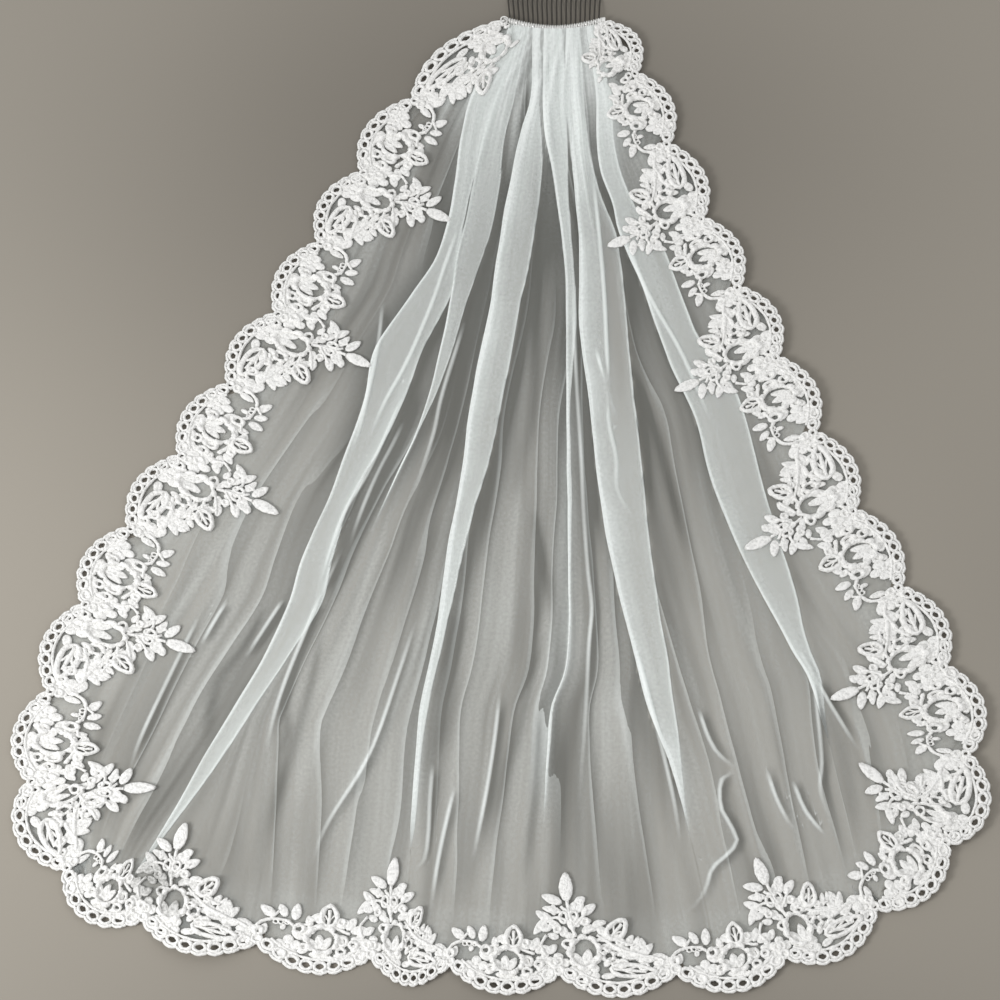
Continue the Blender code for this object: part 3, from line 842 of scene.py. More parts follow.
def along_line(points, line):
    """Signed distance of each point from a line, and how far along it the nearest place is, 0 to 1."""
    line = np.array(line, float)
    lengths = np.linalg.norm(np.diff(line, axis=0), axis=1)
    total = lengths.sum()
    best = np.full(len(points), 1e9)
    side = np.ones(len(points))
    place = np.zeros(len(points))
    walked = 0.0
    for start, end, length in zip(line[:-1], line[1:], lengths):
        direction = (end - start) / length
        offset = points - start
        reach = np.clip(offset @ direction, 0, length)
        distance = np.linalg.norm(offset - reach[:, None] * direction, axis=1)
        nearer = distance < best
        best[nearer] = distance[nearer]
        side[nearer] = np.sign(offset[:, 0] * direction[1] - offset[:, 1] * direction[0] + 1e-9)[nearer]
        place[nearer] = (walked + reach[nearer]) / total
        walked += length
    return best * side, place


def round_line(line, steps=5):
    """A given line with its corners rounded, in steps from each of its points to the next."""
    keyed = [(number, *point) for number, point in enumerate(line)]
    return smooth(keyed, np.linspace(0, len(line) - 1, steps * (len(line) - 1) + 1))


def drifting(across, down, octaves, seed):
    """An uneven run of numbers round 0.5 over the cloth, one at each point."""
    total = np.zeros(len(across))
    weight = 0.0
    for octave in range(octaves):
        size = 2.0 ** octave
        share = 0.5 ** octave
        total += share * np.array([noise.noise(Vector((u * size, v * size, seed)))
                                   for u, v in zip(across, down)])
        weight += share
    return 0.5 + 0.5 * total / weight


def nearest_border(points):
    """For each point, its distance from the neck line and the neck number there."""
    necks = np.linspace(0, NECKS, NECKS * 8 + 1)
    line = border_point(necks, np.zeros(len(necks)))
    distances = []
    nearest_necks = []
    for part in np.array_split(points, 12):
        apart = ((part[:, None, :] - line[None, :, :]) ** 2).sum(axis=2)
        nearest = apart.argmin(axis=1)
        distances.append(np.sqrt(apart[np.arange(len(part)), nearest]))
        nearest_necks.append(necks[nearest])
    return np.concatenate(distances), np.concatenate(nearest_necks)


def add_gathers(share, across_cloth, below, height, opacity, shade):
    """Raises the gathers below the comb and adds their opacity and shade, in place."""
    random = np.random.default_rng(31)
    for number in range(FINE_GATHERS):
        place = (number + random.uniform(0.1, 0.9)) / FINE_GATHERS
        spread = random.uniform(0.0035, 0.0085)
        reach = random.uniform(90, 420)
        side = random.choice((-1.0, 1.0), p=(0.4, 0.6))
        drift = random.uniform(-0.03, 0.03) * below / 400
        ridge = np.exp(-((across_cloth - place - drift) / spread) ** 2)
        ridge *= 1 - ease(0.25 * reach, reach, below)
        height += 1.0 * side * ridge * ease(-6, 40, below)
        opacity += (0.35 + 0.65 * (side > 0)) * side * random.uniform(0.06, 0.22) * ridge
        shade += 0.22 * (side < 0) * ridge * ease(60, 160, below)
    for place, width, reach, tall, light in GATHERS:
        spread = width * (1.0 + 0.6 * below / reach)
        ridge = np.exp(-((share - place) / spread) ** 2) * (1 - ease(0.35 * reach, reach, below))
        height += tall * ridge * ease(-6, 40, below)
        opacity += light * ridge


def add_creases(points, inside, height, opacity, shade):
    """Raises the creases of the open cloth and adds their opacity and shade, in place.

    Returns each point's distance from the nearest bright crease, and how bright that one is there."""
    crease = np.full(len(points), NO_CREASE)
    next_crease = np.full(len(points), NO_CREASE + 10)
    crease_light = np.zeros(len(points))
    for number, (kind, width, tall, line) in enumerate(CREASES):
        light, dark = CREASE_KINDS[kind]
        offset, place = along_line(points, round_line(line))
        apart = np.abs(offset)
        ends = ease(0, CREASE_ENDS[0], place) * (1 - ease(CREASE_ENDS[1], 1, place))
        if kind == "line":
            nearer = apart < np.abs(crease)
            next_crease = np.where(nearer, np.abs(crease), np.minimum(next_crease, apart))
            crease[nearer] = offset[nearer]
            strength = 0.75 + 0.25 * waver(points[:, 1] * 1.3, 50 + number)
            crease_light[nearer] = (ends * strength * (1 - ease(*CREASE_REACH, apart)))[nearer]
        if kind == "dark":
            width = width * (0.7 + 0.6 * ease(0, 0.6, place))
        profile = np.exp(-(apart / np.maximum(width, 2.0)) ** 2) * ends * inside
        height += tall * profile
        opacity += light * profile
        shade += dark * profile
    alone = ease(*CREASE_APART, next_crease - np.abs(crease))
    return crease, crease_light * inside * alone


def store_unevenness(data, across_cloth, down, inside):
    """Keeps the crisp pleats' run and the cloth's broad and fine unevenness for the material."""
    broad = drifting(across_cloth * 29, down * 2.9, 3, 1.0)
    ripple = drifting(across_cloth * 72, down * 3.8, 2, 2.0)
    clouds = drifting(across_cloth * 11, down * 8.5, 2, 3.0)
    patches = drifting(across_cloth * 11, down * 2.5, 1, 4.0)
    store(data, "phase", across_cloth * PLEATS_ACROSS + broad * 1.7 + patches * 0.9)
    # Painted shade in soft streaks where the broad and fine unevenness run low
    store(data, "streak_shade", np.maximum(0.50 - broad, 0) * 2.2 + np.maximum(0.46 - ripple, 0) * 1.4)
    store(data, "unevenness", 0.14 + clouds * 0.2 + broad * 0.9)
    store(data, "somewhere", ease(0.32, 0.56, patches) * inside)


class TulleSettings(bpy.types.PropertyGroup):
    net_colour: FloatVectorProperty(
        name="Net", description="Colour of the net's threads", subtype="COLOR",
        default=(0.915, 0.955, 0.935), min=0, max=1)
    # Painted shade: colour of the dark film laid on the net's streaks, pleats and crease flanks
    shadow_colour: FloatVectorProperty(
        name="Troughs", description="Colour of the net down in a trough", subtype="COLOR",
        default=(0.085, 0.09, 0.08), min=0, max=1)
    opacity: FloatProperty(
        name="Opacity", description="How much of the light one layer of net stops",
        default=0.25, min=0.02, max=0.9, subtype="FACTOR")
    net_cell: FloatProperty(
        name="Net cell", description="Size of one hole of the net", default=0.0012, min=0.0004,
        max=0.01, unit="LENGTH")
    crease_width: FloatProperty(
        name="Crease width", description="Half the width of a fine crease's light", default=0.0028,
        min=0.0003, max=0.01, unit="LENGTH")
    # Strength of the painted shade in the soft streaks and the pleats
    streak_shade_strength: FloatProperty(
        name="Trough depth", description="How dark the soft streaks between the folds are",
        default=0.8, min=0, max=2)
    # Strength of the painted shade down the painted pleats' falling sides
    pleats: FloatProperty(
        name="Pleats", description="How dark the open cloth's crisp pleats are", default=0.62, min=0,
        max=2)
    fold_gap: FloatProperty(
        name="Fold gap", description="Height between the layers of a pressed fold",
        default=0.0009, min=0.0002, max=0.004, unit="LENGTH")


class VEIL_OT_tulle(bpy.types.Operator):
    """Lay the tulle panel: one sheet of net, gathered at the comb and doubled back at each fold"""
    bl_idname = "veil.tulle"
    bl_label = "Tulle panel"

    def execute(self, context):
        settings = context.scene.veil_tulle
        columns = sum(FORWARD_COLUMNS) + BACK_COLUMNS * len(FOLDS)
        deselect()
        bpy.ops.mesh.primitive_grid_add(x_subdivisions=columns, y_subdivisions=TULLE_ROWS, size=2,
                                        calc_uvs=True)
        sheet = context.object
        sheet.name = "tulle"
        data = sheet.data
        flat = coordinates(data)
        if len(flat) != (columns + 1) * (TULLE_ROWS + 1):
            self.report({"ERROR"}, "the grid has other steps than its rows and columns")
            raise RuntimeError(f"grid of {len(flat)} points")
        column = np.rint((flat[:, 0] + 1) / 2 * columns).astype(int)
        row = np.rint((1 - flat[:, 1]) / 2 * TULLE_ROWS).astype(int)

        rows = [tulle_row((number / TULLE_ROWS) ** ROW_CROWDING, settings.fold_gap / MM)
                for number in range(TULLE_ROWS + 1)]
        points = np.stack([laid for laid, _ in rows])[row, column]
        share, height, folded, glow, shade = np.stack([fields for _, fields in rows], axis=1)[:, row, column]
        walked = np.zeros(columns + 1)
        for laid, _ in rows[TULLE_ROWS // 3:]:
            steps = np.linalg.norm(np.diff(laid, axis=0), axis=1)
            walked[1:] += steps.cumsum() / steps.sum()
        across_cloth = (walked / walked[-1])[column]
        down = row / TULLE_ROWS

        distance, neck = nearest_border(points)
        inside = ease(30, 90, distance)
        below = comb_line(0.5)[1] - points[:, 1]
        opacity = settings.opacity * (1 - FOLD_THINNING * folded)
        away_from_lace = ease(0.05, 0.25, share) * (1 - ease(0.9, 0.98, share))
        opacity += HEAD_OPACITY * (1 - ease(60, 260, below)) * away_from_lace
        heading = 1 - ease(0, 30, np.abs(points[:, 0] - 60) - 20)
        opacity += HEADING_OPACITY * (1 - ease(0, 240, below)) * heading
        opacity += GLOW_OPACITY * glow
        shade *= (1 - 0.75 * ease(250, 750, below)) * ease(60, 240, below)
        for x, y, radius_x, radius_y, more in HAZE:
            near = ((points[:, 0] - x) / radius_x) ** 2 + ((points[:, 1] - y) / radius_y) ** 2
            opacity += more * np.exp(-near) * (1 - folded)
        add_gathers(share, across_cloth, below, height, opacity, shade)
        crease, crease_light = add_creases(points, inside, height, opacity, shade)
        opacity += LACE_GROUND_OPACITY * (1 - ease(46, 52, distance)) * ease(20, 70, below)
        border_height = lace_lift(neck, distance) * (1 - ease(45, 100, distance))
        height = np.maximum(height, 0) * (0.15 + 0.85 * inside) + border_height + TULLE_FLOOR

        # The net is cut along the lace's scallops, just inside their eyelets
        across = border_frame(neck)[2]
        push = (scallop_reach(neck) - EDGE_BAND + 1.5) * (1 - ease(0, 42, distance))
        push *= ease(2, 40, below)
        points = points - across * push[:, None]

        set_coordinates(data, metres(np.column_stack([points, height])))
        store(data, "opacity", np.clip(opacity, 0.02, 0.95))
        store(data, "folded", folded)
        store(data, "crease", crease)
        store(data, "crease_light", crease_light)
        store(data, "shade", np.clip(shade * (1 - 0.7 * folded), 0, 1))
        store_unevenness(data, across_cloth, down, inside)
        corners = np.empty(len(data.loops), np.int32)
        data.loops.foreach_get("vertex_index", corners)
        cloth = np.stack([across_cloth * CLOTH_WIDTH * MM, down * CLOTH_LENGTH * MM], axis=1)[corners]
        data.uv_layers.active.data.foreach_set("uv", cloth.astype(np.float32).ravel())
        data.shade_smooth()
        finish_piece(sheet, tulle_material(settings))
        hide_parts("tulle_panel", "gathered_heading", *PLEAT_NODES)
        return {"FINISHED"}


PLEAT_NODES = [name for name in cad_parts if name.startswith("pleat_")]

# ---------------------------------------------------------------------------
# Lace: one repeat of two scallops, drawn flat in millimetres. s runs along the neck line from the
# neck that carries the large spray, and t runs into the veil.
# ---------------------------------------------------------------------------
PITCH = 90.0                # of one scallop, drawn flat
LUMPS_SEED = 7
EDGE_BAND = 14.0            # width of the eyelet edge
EYELETS = 8                 # along one scallop
EYELET_INSET = 7.2          # of their middles from the outermost line
EYELET_RADII = (4.7, 3.7)
EYELET_CORD = 1.55          # radii of the edge's cords
ARCH_CORD = 1.4
INNER_CORD = 1.35
SPRAY_LEAVES = (
    # s, t of the leaf's base, length, width, direction in degrees
    (7.5, 59, 26, 12.5, 91),
    (4.0, 57.5, 18, 9.0, 155),
    (3.5, 50, 16, 7.0, 165),
    (-3.5, 41, 17, 8.5, 143),
    (-8.0, 45, 18, 8.0, 232),
    (-4.0, 37, 11, 7.5, 188),
    (5.0, 28, 10, 8.0, 95),
    (14.0, 57, 10, 8.5, 33),
    (19.0, 47, 15, 9.0, 40),
    (16.0, 41, 11, 7.5, 5),
    (19.0, 32, 11, 8.0, 28),
    (12.0, 34, 15, 8.0, 100),
    (10.0, 48, 12, 7.5, 68),
    (3.0, 34, 14, 7.5, 138),
    (15.0, 49, 11, 7.0, 60),
    (20.0, 36, 12, 7.5, -5),
    (-2.0, 47, 10, 6.5, 100),
    (27.0, 38, 12, 7.0, 15),
    (1.0, 28, 10, 6.5, 165),
)
FIRST_LEAVES = (
    (38.5, 28, 13, 8.5, 130),
    (30, 26, 22, 7.0, 8),
    (33, 21, 23, 6.5, -8),
    (44, 13, 13, 7.5, 22),
    (56, 8, 15, 8.0, 128),
    (57, 8, 22, 9.0, 76),
    (60, 8, 20, 9.0, 48),
    (61, 7, 16, 8.0, 12),
    (72, 12, 14, 7.5, -10),
    (73, 5, 13, 8.0, 2),
    (33, -7, 13, 6.5, 10),
    (31, 8, 11, 7.0, 205),
    (22, 3, 15, 9.0, 84),
    (19, 3, 14, 7.5, 122),
    (26, 4, 13, 7.5, 48),
    (50, 12, 12, 7.0, 100),
    (52, 20, 12, 6.5, 60),
    (66, 17, 11, 6.5, 100),
    (36, 2, 10, 6.5, 60),
    (8, 12, 12, 7.0, 70),
    (9, 2, 11, 6.5, -30),
    (13, 27, 10, 6.5, 150),
)
SECOND_LEAVES = (
    (101, 20, 15, 9.0, 146),
    (109, 20.5, 13, 7.5, 118),
    (116, 19, 15, 8.5, 88),
    (138.5, 19, 11, 8.5, 138),
    (147, 18, 14, 9.5, 22),
    (130, -8, 18, 7.5, -4),
    (139, -4, 14, 8.0, 62),
    (138, -4, 14, 8.5, 98),
    (137, -4, 14, 7.5, 138),
    (157, 16, 13, 8.5, 62),
    (160, 15, 14, 8.5, 20),
    (161, 10, 12, 7.5, -22),
    (125, 4, 12, 7.5, 150),
    (128, 14, 11, 7.0, 100),
    (170, 14, 12, 8.0, 40),
    (168, 8, 12, 7.5, 80),
    (149, -8, 15, 7.0, 12),
    (121, -8, 11, 6.5, 30),
    (151, 10, 10, 6.5, -60),
    (92, 3, 11, 7.0, 75),
    (127, 20, 12, 6.5, 40),
)
# s, t, size, turn in degrees
SPRAY_BLOSSOMS = ((-1, 4.5, 21, 10), (13, 41, 12, 30))
FIRST_BLOSSOMS = ((24, -3.5, 19, 40), (84, 1, 20, 0), (46, 4, 11, 20))
SECOND_BLOSSOMS = ((113.5, -4, 21, 20), (168, -3, 17, 55), (127, 11, 11, 0))
# s, t, radius along, radius across, cord radius, bumps round it
SPRAY_RINGS = ((4.8, 45, 3.0, 4.6, 1.5, 0), (12.5, 46, 3.0, 4.6, 1.4, 0), (8.0, 22, 4.2, 3.6, 1.5, 0),
               (22, 41, 2.6, 2.6, 1.3, 0), (0, 35, 2.6, 2.6, 1.3, 0))
FIRST_RINGS = ((20.5, 14.5, 11.0, 13.0, 2.4, 9), (39, 11.5, 4.2, 4.2, 1.9, 6), (50, 5, 3.2, 3.0, 1.5, 0),
               (35, 16, 2.6, 2.6, 1.4, 0), (66, 2, 3.4, 3.0, 1.5, 0), (9, -3, 3.0, 3.0, 1.4, 0),
               (76, -1, 3.0, 2.8, 1.4, 0), (48, 24, 2.6, 2.6, 1.3, 0))
SECOND_RINGS = ((138.5, 5, 11.5, 10.5, 2.4, 9), (120, 12, 3.8, 3.8, 1.7, 0), (154.5, 6, 4.0, 4.0, 1.8, 0),
                (155, -3, 3.4, 3.0, 1.6, 0), (164, 4, 3.2, 3.0, 1.6, 0), (176, 6, 3.0, 3.0, 1.5, 0),
                (126, -3, 3.0, 2.8, 1.5, 0), (103, -7, 3.0, 2.6, 1.3, 0), (152, 22, 2.6, 2.6, 1.3, 0))
# Open leaves, drawn as an outline with a vein: s, t of the base, length, width, direction
FIRST_OPEN = ((40, 27, 19, 13, 54), (41, 0, 34, 11, -5))
SECOND_OPEN = ((142, 17, 18, 13, 92),)
# Stems, each a line of points
SPRAY_STEMS = (((14, 28), (11, 38), (9, 49), (8, 60)), ((9, 49), (3, 55)), ((10, 41), (0, 45), (-8, 44)),
               ((11, 35), (18, 43), (24, 51)), ((-9, 30), (-14, 21), (-10, 12)),
               ((20, 30), (30, 36), (38, 40)))
FIRST_STEMS = (((29, 25), (38, 27), (46, 25), (58, 21)), ((42, 5), (52, 9), (60, 10), (72, 11), (82, 7)),
               ((6, -5), (14, -10), (24, -12)), ((30, 30), (44, 20), (58, 14), (76, 10)))
SECOND_STEMS = (((86, 6), (90.5, 13.5), (98.5, 17.5), (109, 18), (116, 14)),
                ((98, 18), (103, 25)), ((126, 9), (132, 16), (142, 18), (152, 15), (160, 13)),
                ((146, -8), (155, -10), (166, -8)), ((116, 14), (124, 16), (130, 18)))
# Ground that small rings and buds fill: how far it reaches into the veil, along s
GROUND = (
    (0, 26), (10, 34), (22, 36), (36, 30), (46, 26), (60, 20), (72, 16), (84, 10), (96, 14), (108, 18),
    (120, 19), (134, 18), (150, 20), (164, 18), (172, 12), (180, 12),
)
# Places in the ground that stay open: s, t, radius along, radius across
OPENINGS = ((-7, 21, 8.5, 9.0), (173, 21, 8.5, 9.0), (102, 5, 9.0, 8.0), (52, -9, 20.0, 6.5), (93, -7, 6, 3))
FILL_STEP = 4.6


def thread(points, radius, random, closed=False, height=0.9):
    """A cord of uneven thickness through flat points."""
    points = np.asarray(points, float)
    placed = np.column_stack([points + random.normal(0, 0.12, points.shape), np.full(len(points), height)])
    return placed, radius * random.uniform(0.84, 1.2, len(points)), closed


def fill_places(marks, random):
    """Free places in the ground between the motifs. A mark is (s, t, radius)."""
    marks = np.array(marks, float)
    places = []
    for step_t in range(-4, 12):
        for step_s in range(0, int(2 * PITCH / FILL_STEP) + 1):
            s = (step_s + 0.5 * (step_t % 2)) * FILL_STEP + random.uniform(-0.7, 0.7)
            t = step_t * FILL_STEP * 0.87 + random.uniform(-0.7, 0.7)
            low = EDGE_BAND - float(scallop_reach(s / PITCH)) - 2.5
            high = float(smooth(GROUND, s)[0, 0])
            if not low < t < high or s > 2 * PITCH:
                continue
            if any(((s - cs) / rs) ** 2 + ((t - ct) / rt) ** 2 < 1 for cs, ct, rs, rt in OPENINGS):
                continue
            if (np.hypot(marks[:, 0] - s, marks[:, 1] - t) < marks[:, 2] + 1.4).any():
                continue
            places.append((s, t))
    return places


def edge_points(share, inset):
    """Points of a scallop's edge at shares of its length, moved in from its outermost line."""
    fine = np.linspace(0, 1, 400)
    outline = np.stack([fine * PITCH, -scallop_reach(np.clip(fine, 0.0005, 0.9995))], axis=1)
    steps = np.linalg.norm(np.diff(outline, axis=0), axis=1)
    walked = np.concatenate([[0], steps.cumsum()]) / steps.sum()
    at = lambda place: np.stack([np.interp(place, walked, outline[:, axis]) for axis in (0, 1)], axis=1)
    along = at(np.minimum(share + 0.02, 1)) - at(np.maximum(share - 0.02, 0))
    along /= np.linalg.norm(along, axis=1)[:, None]
    inward = np.stack([-along[:, 1], along[:, 0]], axis=1)
    return at(share) + inward * np.broadcast_to(inset, len(share))[:, None]


def ring_points(centre, along, across, turn=0.0, count=16):
    """Points round an oval."""
    angles = np.arange(count) / count * 2 * np.pi
    x = along * np.cos(angles)
    y = across * np.sin(angles)
    return np.stack([centre[0] + x * math.cos(turn) - y * math.sin(turn),
                     centre[1] + x * math.sin(turn) + y * math.cos(turn)], axis=1)


def bumpy_ring(s, t, along, across, radius, bumps, random):
    """A round cord ring, with bumps round it or plain."""
    count = 4 * bumps if bumps else 12
    wave = np.abs(np.sin(bumps * np.arange(count) / count * np.pi))
    line = ring_points((s, t), along, across, 0.0, count)
    line += (line - (s, t)) * (0.11 * wave - 0.03)[:, None] * (bumps > 0)
    points, radii, closed = thread(line, radius, random, True)
    if bumps:
        radii = radii * (0.55 + 0.6 * wave)
    return points, radii, closed


def scallop_edge(start, random):
    """Inner cord, eyelets and outer arches of one scallop's edge."""
    lines = [thread(edge_points(np.linspace(0.02, 0.98, 34), EDGE_BAND - 1.3) + (start, 0), INNER_CORD,
                    random),
             thread(ring_points((start, 2.5), 3.6, 3.2, 0.0, 10), 1.6, random, True),
             thread(ring_points((start, 10.0), 3.2, 3.2, 0.0, 10), 1.5, random, True)]
    for number in range(EYELETS):
        middle = (number + 0.5) / EYELETS
        centre, ahead, back = edge_points(middle + np.array([0, 0.03, -0.03]), EYELET_INSET)
        turn = math.atan2(ahead[1] - back[1], ahead[0] - back[0])
        centre[0] += start
        lines.append(thread(ring_points(centre, *EYELET_RADII, turn, 12), EYELET_CORD, random, True))
        shares = np.linspace(number, number + 1, 8) / EYELETS
        bulge = 3.4 - 2.2 * np.sin(np.linspace(0, np.pi, 8)) ** 0.6
        lines.append(thread(edge_points(shares, bulge) + (start, 0), ARCH_CORD, random))
    return lines


def open_leaf(s, t, length, width, degrees, random):
    """Outline of a leaf with a vein and two side veins."""
    angles = np.arange(18) / 18 * 2 * np.pi
    x = length * (1 - np.cos(angles)) / 2
    y = width / 2 * np.sin(angles) * (1.15 - 0.45 * x / length)
    turn = math.radians(degrees)
    turned = lambda px, py: np.stack([s + px * math.cos(turn) - py * math.sin(turn),
                                      t + px * math.sin(turn) + py * math.cos(turn)], axis=1)
    vein = np.linspace(0.02, 0.78, 6) * length
    lines = [thread(turned(x, y), 2.1, random, True), thread(turned(vein, 0 * vein), 1.4, random)]
    for side in (-1, 1):
        branch = np.linspace(0, 1, 4)
        tip = turned(length * (0.25 + 0.3 * branch), side * width * 0.3 * branch)
        lines.append(thread(tip, 0.8, random))
    return lines


def petal_template(name, sides, pointed, height):
    """A padded satin petal of length 1 along X and width 1, with a groove down its middle."""
    deselect()
    bpy.ops.mesh.primitive_circle_add(vertices=sides, radius=0.5, fill_type="NGON", location=(0.5, 0, 0))
    bpy.ops.object.transform_apply(location=True, rotation=False, scale=False)
    petal = bpy.context.object
    petal.name = name
    bpy.ops.object.mode_set(mode="EDIT")
    bpy.ops.mesh.select_mode(type="FACE")
    bpy.ops.mesh.select_all(action="SELECT")
    bpy.ops.mesh.extrude_region_move(TRANSFORM_OT_translate={"value": (0, 0, height * 0.5)})
    bpy.ops.mesh.inset(thickness=0.10, depth=height * 0.35)
    bpy.ops.mesh.inset(thickness=0.14, depth=height * 0.15)
    bpy.ops.transform.resize(value=(0.9, 0.35, 1.0))
    bpy.ops.transform.translate(value=(0, 0, -height * 0.28))
    bpy.ops.mesh.select_all(action="SELECT")
    bpy.ops.mesh.normals_make_consistent(inside=False)
    bpy.ops.object.mode_set(mode="OBJECT")
    points = coordinates(petal.data)
    x = np.clip(points[:, 0], 0, 1)
    points[:, 1] *= 1.08 - pointed * x ** 2 - 0.18 * (1 - x) ** 2
    set_coordinates(petal.data, points)
    return petal


def place_copy(template, s, t, length, width, degrees, lift=0.0):
    """A copy of a petal at its place in the flat lace, in millimetres."""
    copy = duplicate(template)
    copy.matrix_world = (Matrix.Translation((s, t, lift)) @ Matrix.Rotation(math.radians(degrees), 4, "Z")
                         @ Matrix.Diagonal((length, width, 1, 1)))
    return copy


def blossom(petal, button, s, t, size, turn):
    """Five petals round a button."""
    made = [place_copy(petal, s + size * 0.07 * math.cos(math.radians(turn + 72 * number)),
                       t + size * 0.07 * math.sin(math.radians(turn + 72 * number)),
                       size * 0.43, size * 0.37, turn + 72 * number, 0.1) for number in range(5)]
    made.append(place_copy(button, s - size * 0.11, t, size * 0.22, size * 0.22, 0, 0.5))
    return made


def leaf_marks(row):
    """Round footprints along a leaf."""
    s, t, length, width, degrees = row
    turn = math.radians(degrees)
    return [(s + length * share * math.cos(turn), t + length * share * math.sin(turn), width * 0.46)
            for share in (0.12, 0.3, 0.5, 0.7, 0.88)]


def all_marks():
    """Footprints of every motif, for the fill to keep clear of."""
    marks = []
    for rows, shift in ((FIRST_LEAVES, 0), (SECOND_LEAVES, 0), (SPRAY_LEAVES, 0), (SPRAY_LEAVES, 2 * PITCH),
                        (FIRST_OPEN, 0), (SECOND_OPEN, 0)):
        for s, t, length, width, degrees in rows:
            marks += leaf_marks((s + shift, t, length, width, degrees))
    for rows, shift in ((FIRST_BLOSSOMS, 0), (SECOND_BLOSSOMS, 0), (SPRAY_BLOSSOMS, 0),
                        (SPRAY_BLOSSOMS, 2 * PITCH)):
        marks += [(s + shift, t, size * 0.44) for s, t, size, _ in rows]
    for s, t, along, across, radius, _ in FIRST_RINGS + SECOND_RINGS + SPRAY_RINGS:
        marks += [(x, y, radius + 0.4) for x, y in ring_points((s, t), along, across)]
        marks.append((s, t, min(along, across)))
    return marks


def lace_unit(name, templates, leaves, blossoms, rings, open_leaves, stems, fill):
    """Part of the lace repeat as one flat mesh in millimetres."""
    leaf, petal, button = templates
    random = np.random.default_rng(len(name) + 5)
    things = [place_copy(leaf, *row) for row in leaves]
    for row in blossoms:
        things += blossom(petal, button, *row)
    lines = [bumpy_ring(*row, random) for row in rings]
    for row in open_leaves:
        lines += open_leaf(*row, random)
    lines += [thread(round_line(stem, 4), 1.4, random, height=0.7) for stem in stems]
    for number, (s, t) in enumerate(fill):
        if number % 5:
            lines.append(thread(ring_points((s, t), 1.95, 1.95, 0.0, 7), 0.75, random, True, 0.6))
        else:
            turn = random.uniform(0, 180)
            things.append(place_copy(petal, s - 2.6 * math.cos(math.radians(turn)),
                                     t - 2.6 * math.sin(math.radians(turn)), 5.4, 4.2, turn))
    things.append(cords(name + "_cords", lines))
    unit = join(things, name)
    pick([unit])
    bpy.ops.object.transform_apply(location=True, rotation=True, scale=True)
    return lumpy(unit)


def lumpy(unit):
    """Makes flat lace as uneven as thread, and keeps each point's height for its material, which paints
    shade low down.
    """
    points = coordinates(unit.data)
    store(unit.data, "rise", points[:, 2] / 1.8)
    lumps = np.array([noise.noise_vector(Vector(point) * 0.38) for point in points])
    set_coordinates(unit.data, points + lumps * (0.38, 0.38, 0.25))
    return unit


def lay_on_border(points, first_neck, kind, relief):
    """Bends flat lace to its place on the veil's border. A spray keeps its shape round a corner."""
    s, t = points[:, 0], points[:, 1]
    neck = np.clip(first_neck + s / PITCH, 0, NECKS)
    if kind != "edge":
        shift, stretch = smooth(MOTIF_PLACES, neck if kind == "motif" else first_neck).T
        t = t + 4 + (shift - 4) * np.clip((t + 10) / 26, 0, 1) + np.maximum(t - 20, 0) * (stretch - 1)
    openness = smooth(BORDER, neck)[:, 2]
    inward = np.where(t > 0, t * openness, t)
    bent = border_point(neck, inward)
    if kind == "spray":
        origin, along, across = border_frame(first_neck)
        stretch = np.linalg.norm(border_point(first_neck + 0.5, 0.0) - border_point(first_neck - 0.5, 0.0))
        rigid = origin + along * (s * stretch / PITCH)[:, None] + across * inward[:, None]
        share = ease(5, 35, t)[:, None]
        bent = bent * (1 - share) + rigid * share
    height = lace_lift(neck, inward) + TULLE_FLOOR + 0.3 + np.maximum(points[:, 2], 0) * relief
    return metres(np.column_stack([bent, height]))


class LaceSettings(bpy.types.PropertyGroup):
    thread_colour: FloatVectorProperty(
        name="Thread", description="Colour of the embroidery", subtype="COLOR",
        default=(0.96, 0.955, 0.935), min=0, max=1)
    # Painted shade: the colour that the thread takes low down between the petals
    gap_shade_colour: FloatVectorProperty(
        name="Gaps", description="Colour of the thread down between the petals", subtype="COLOR",
        default=(0.34, 0.34, 0.32), min=0, max=1)
    relief: FloatProperty(
        name="Relief", description="Height of the embroidery, as a share of its drawn height",
        default=1.5, min=0.2, max=3.0)


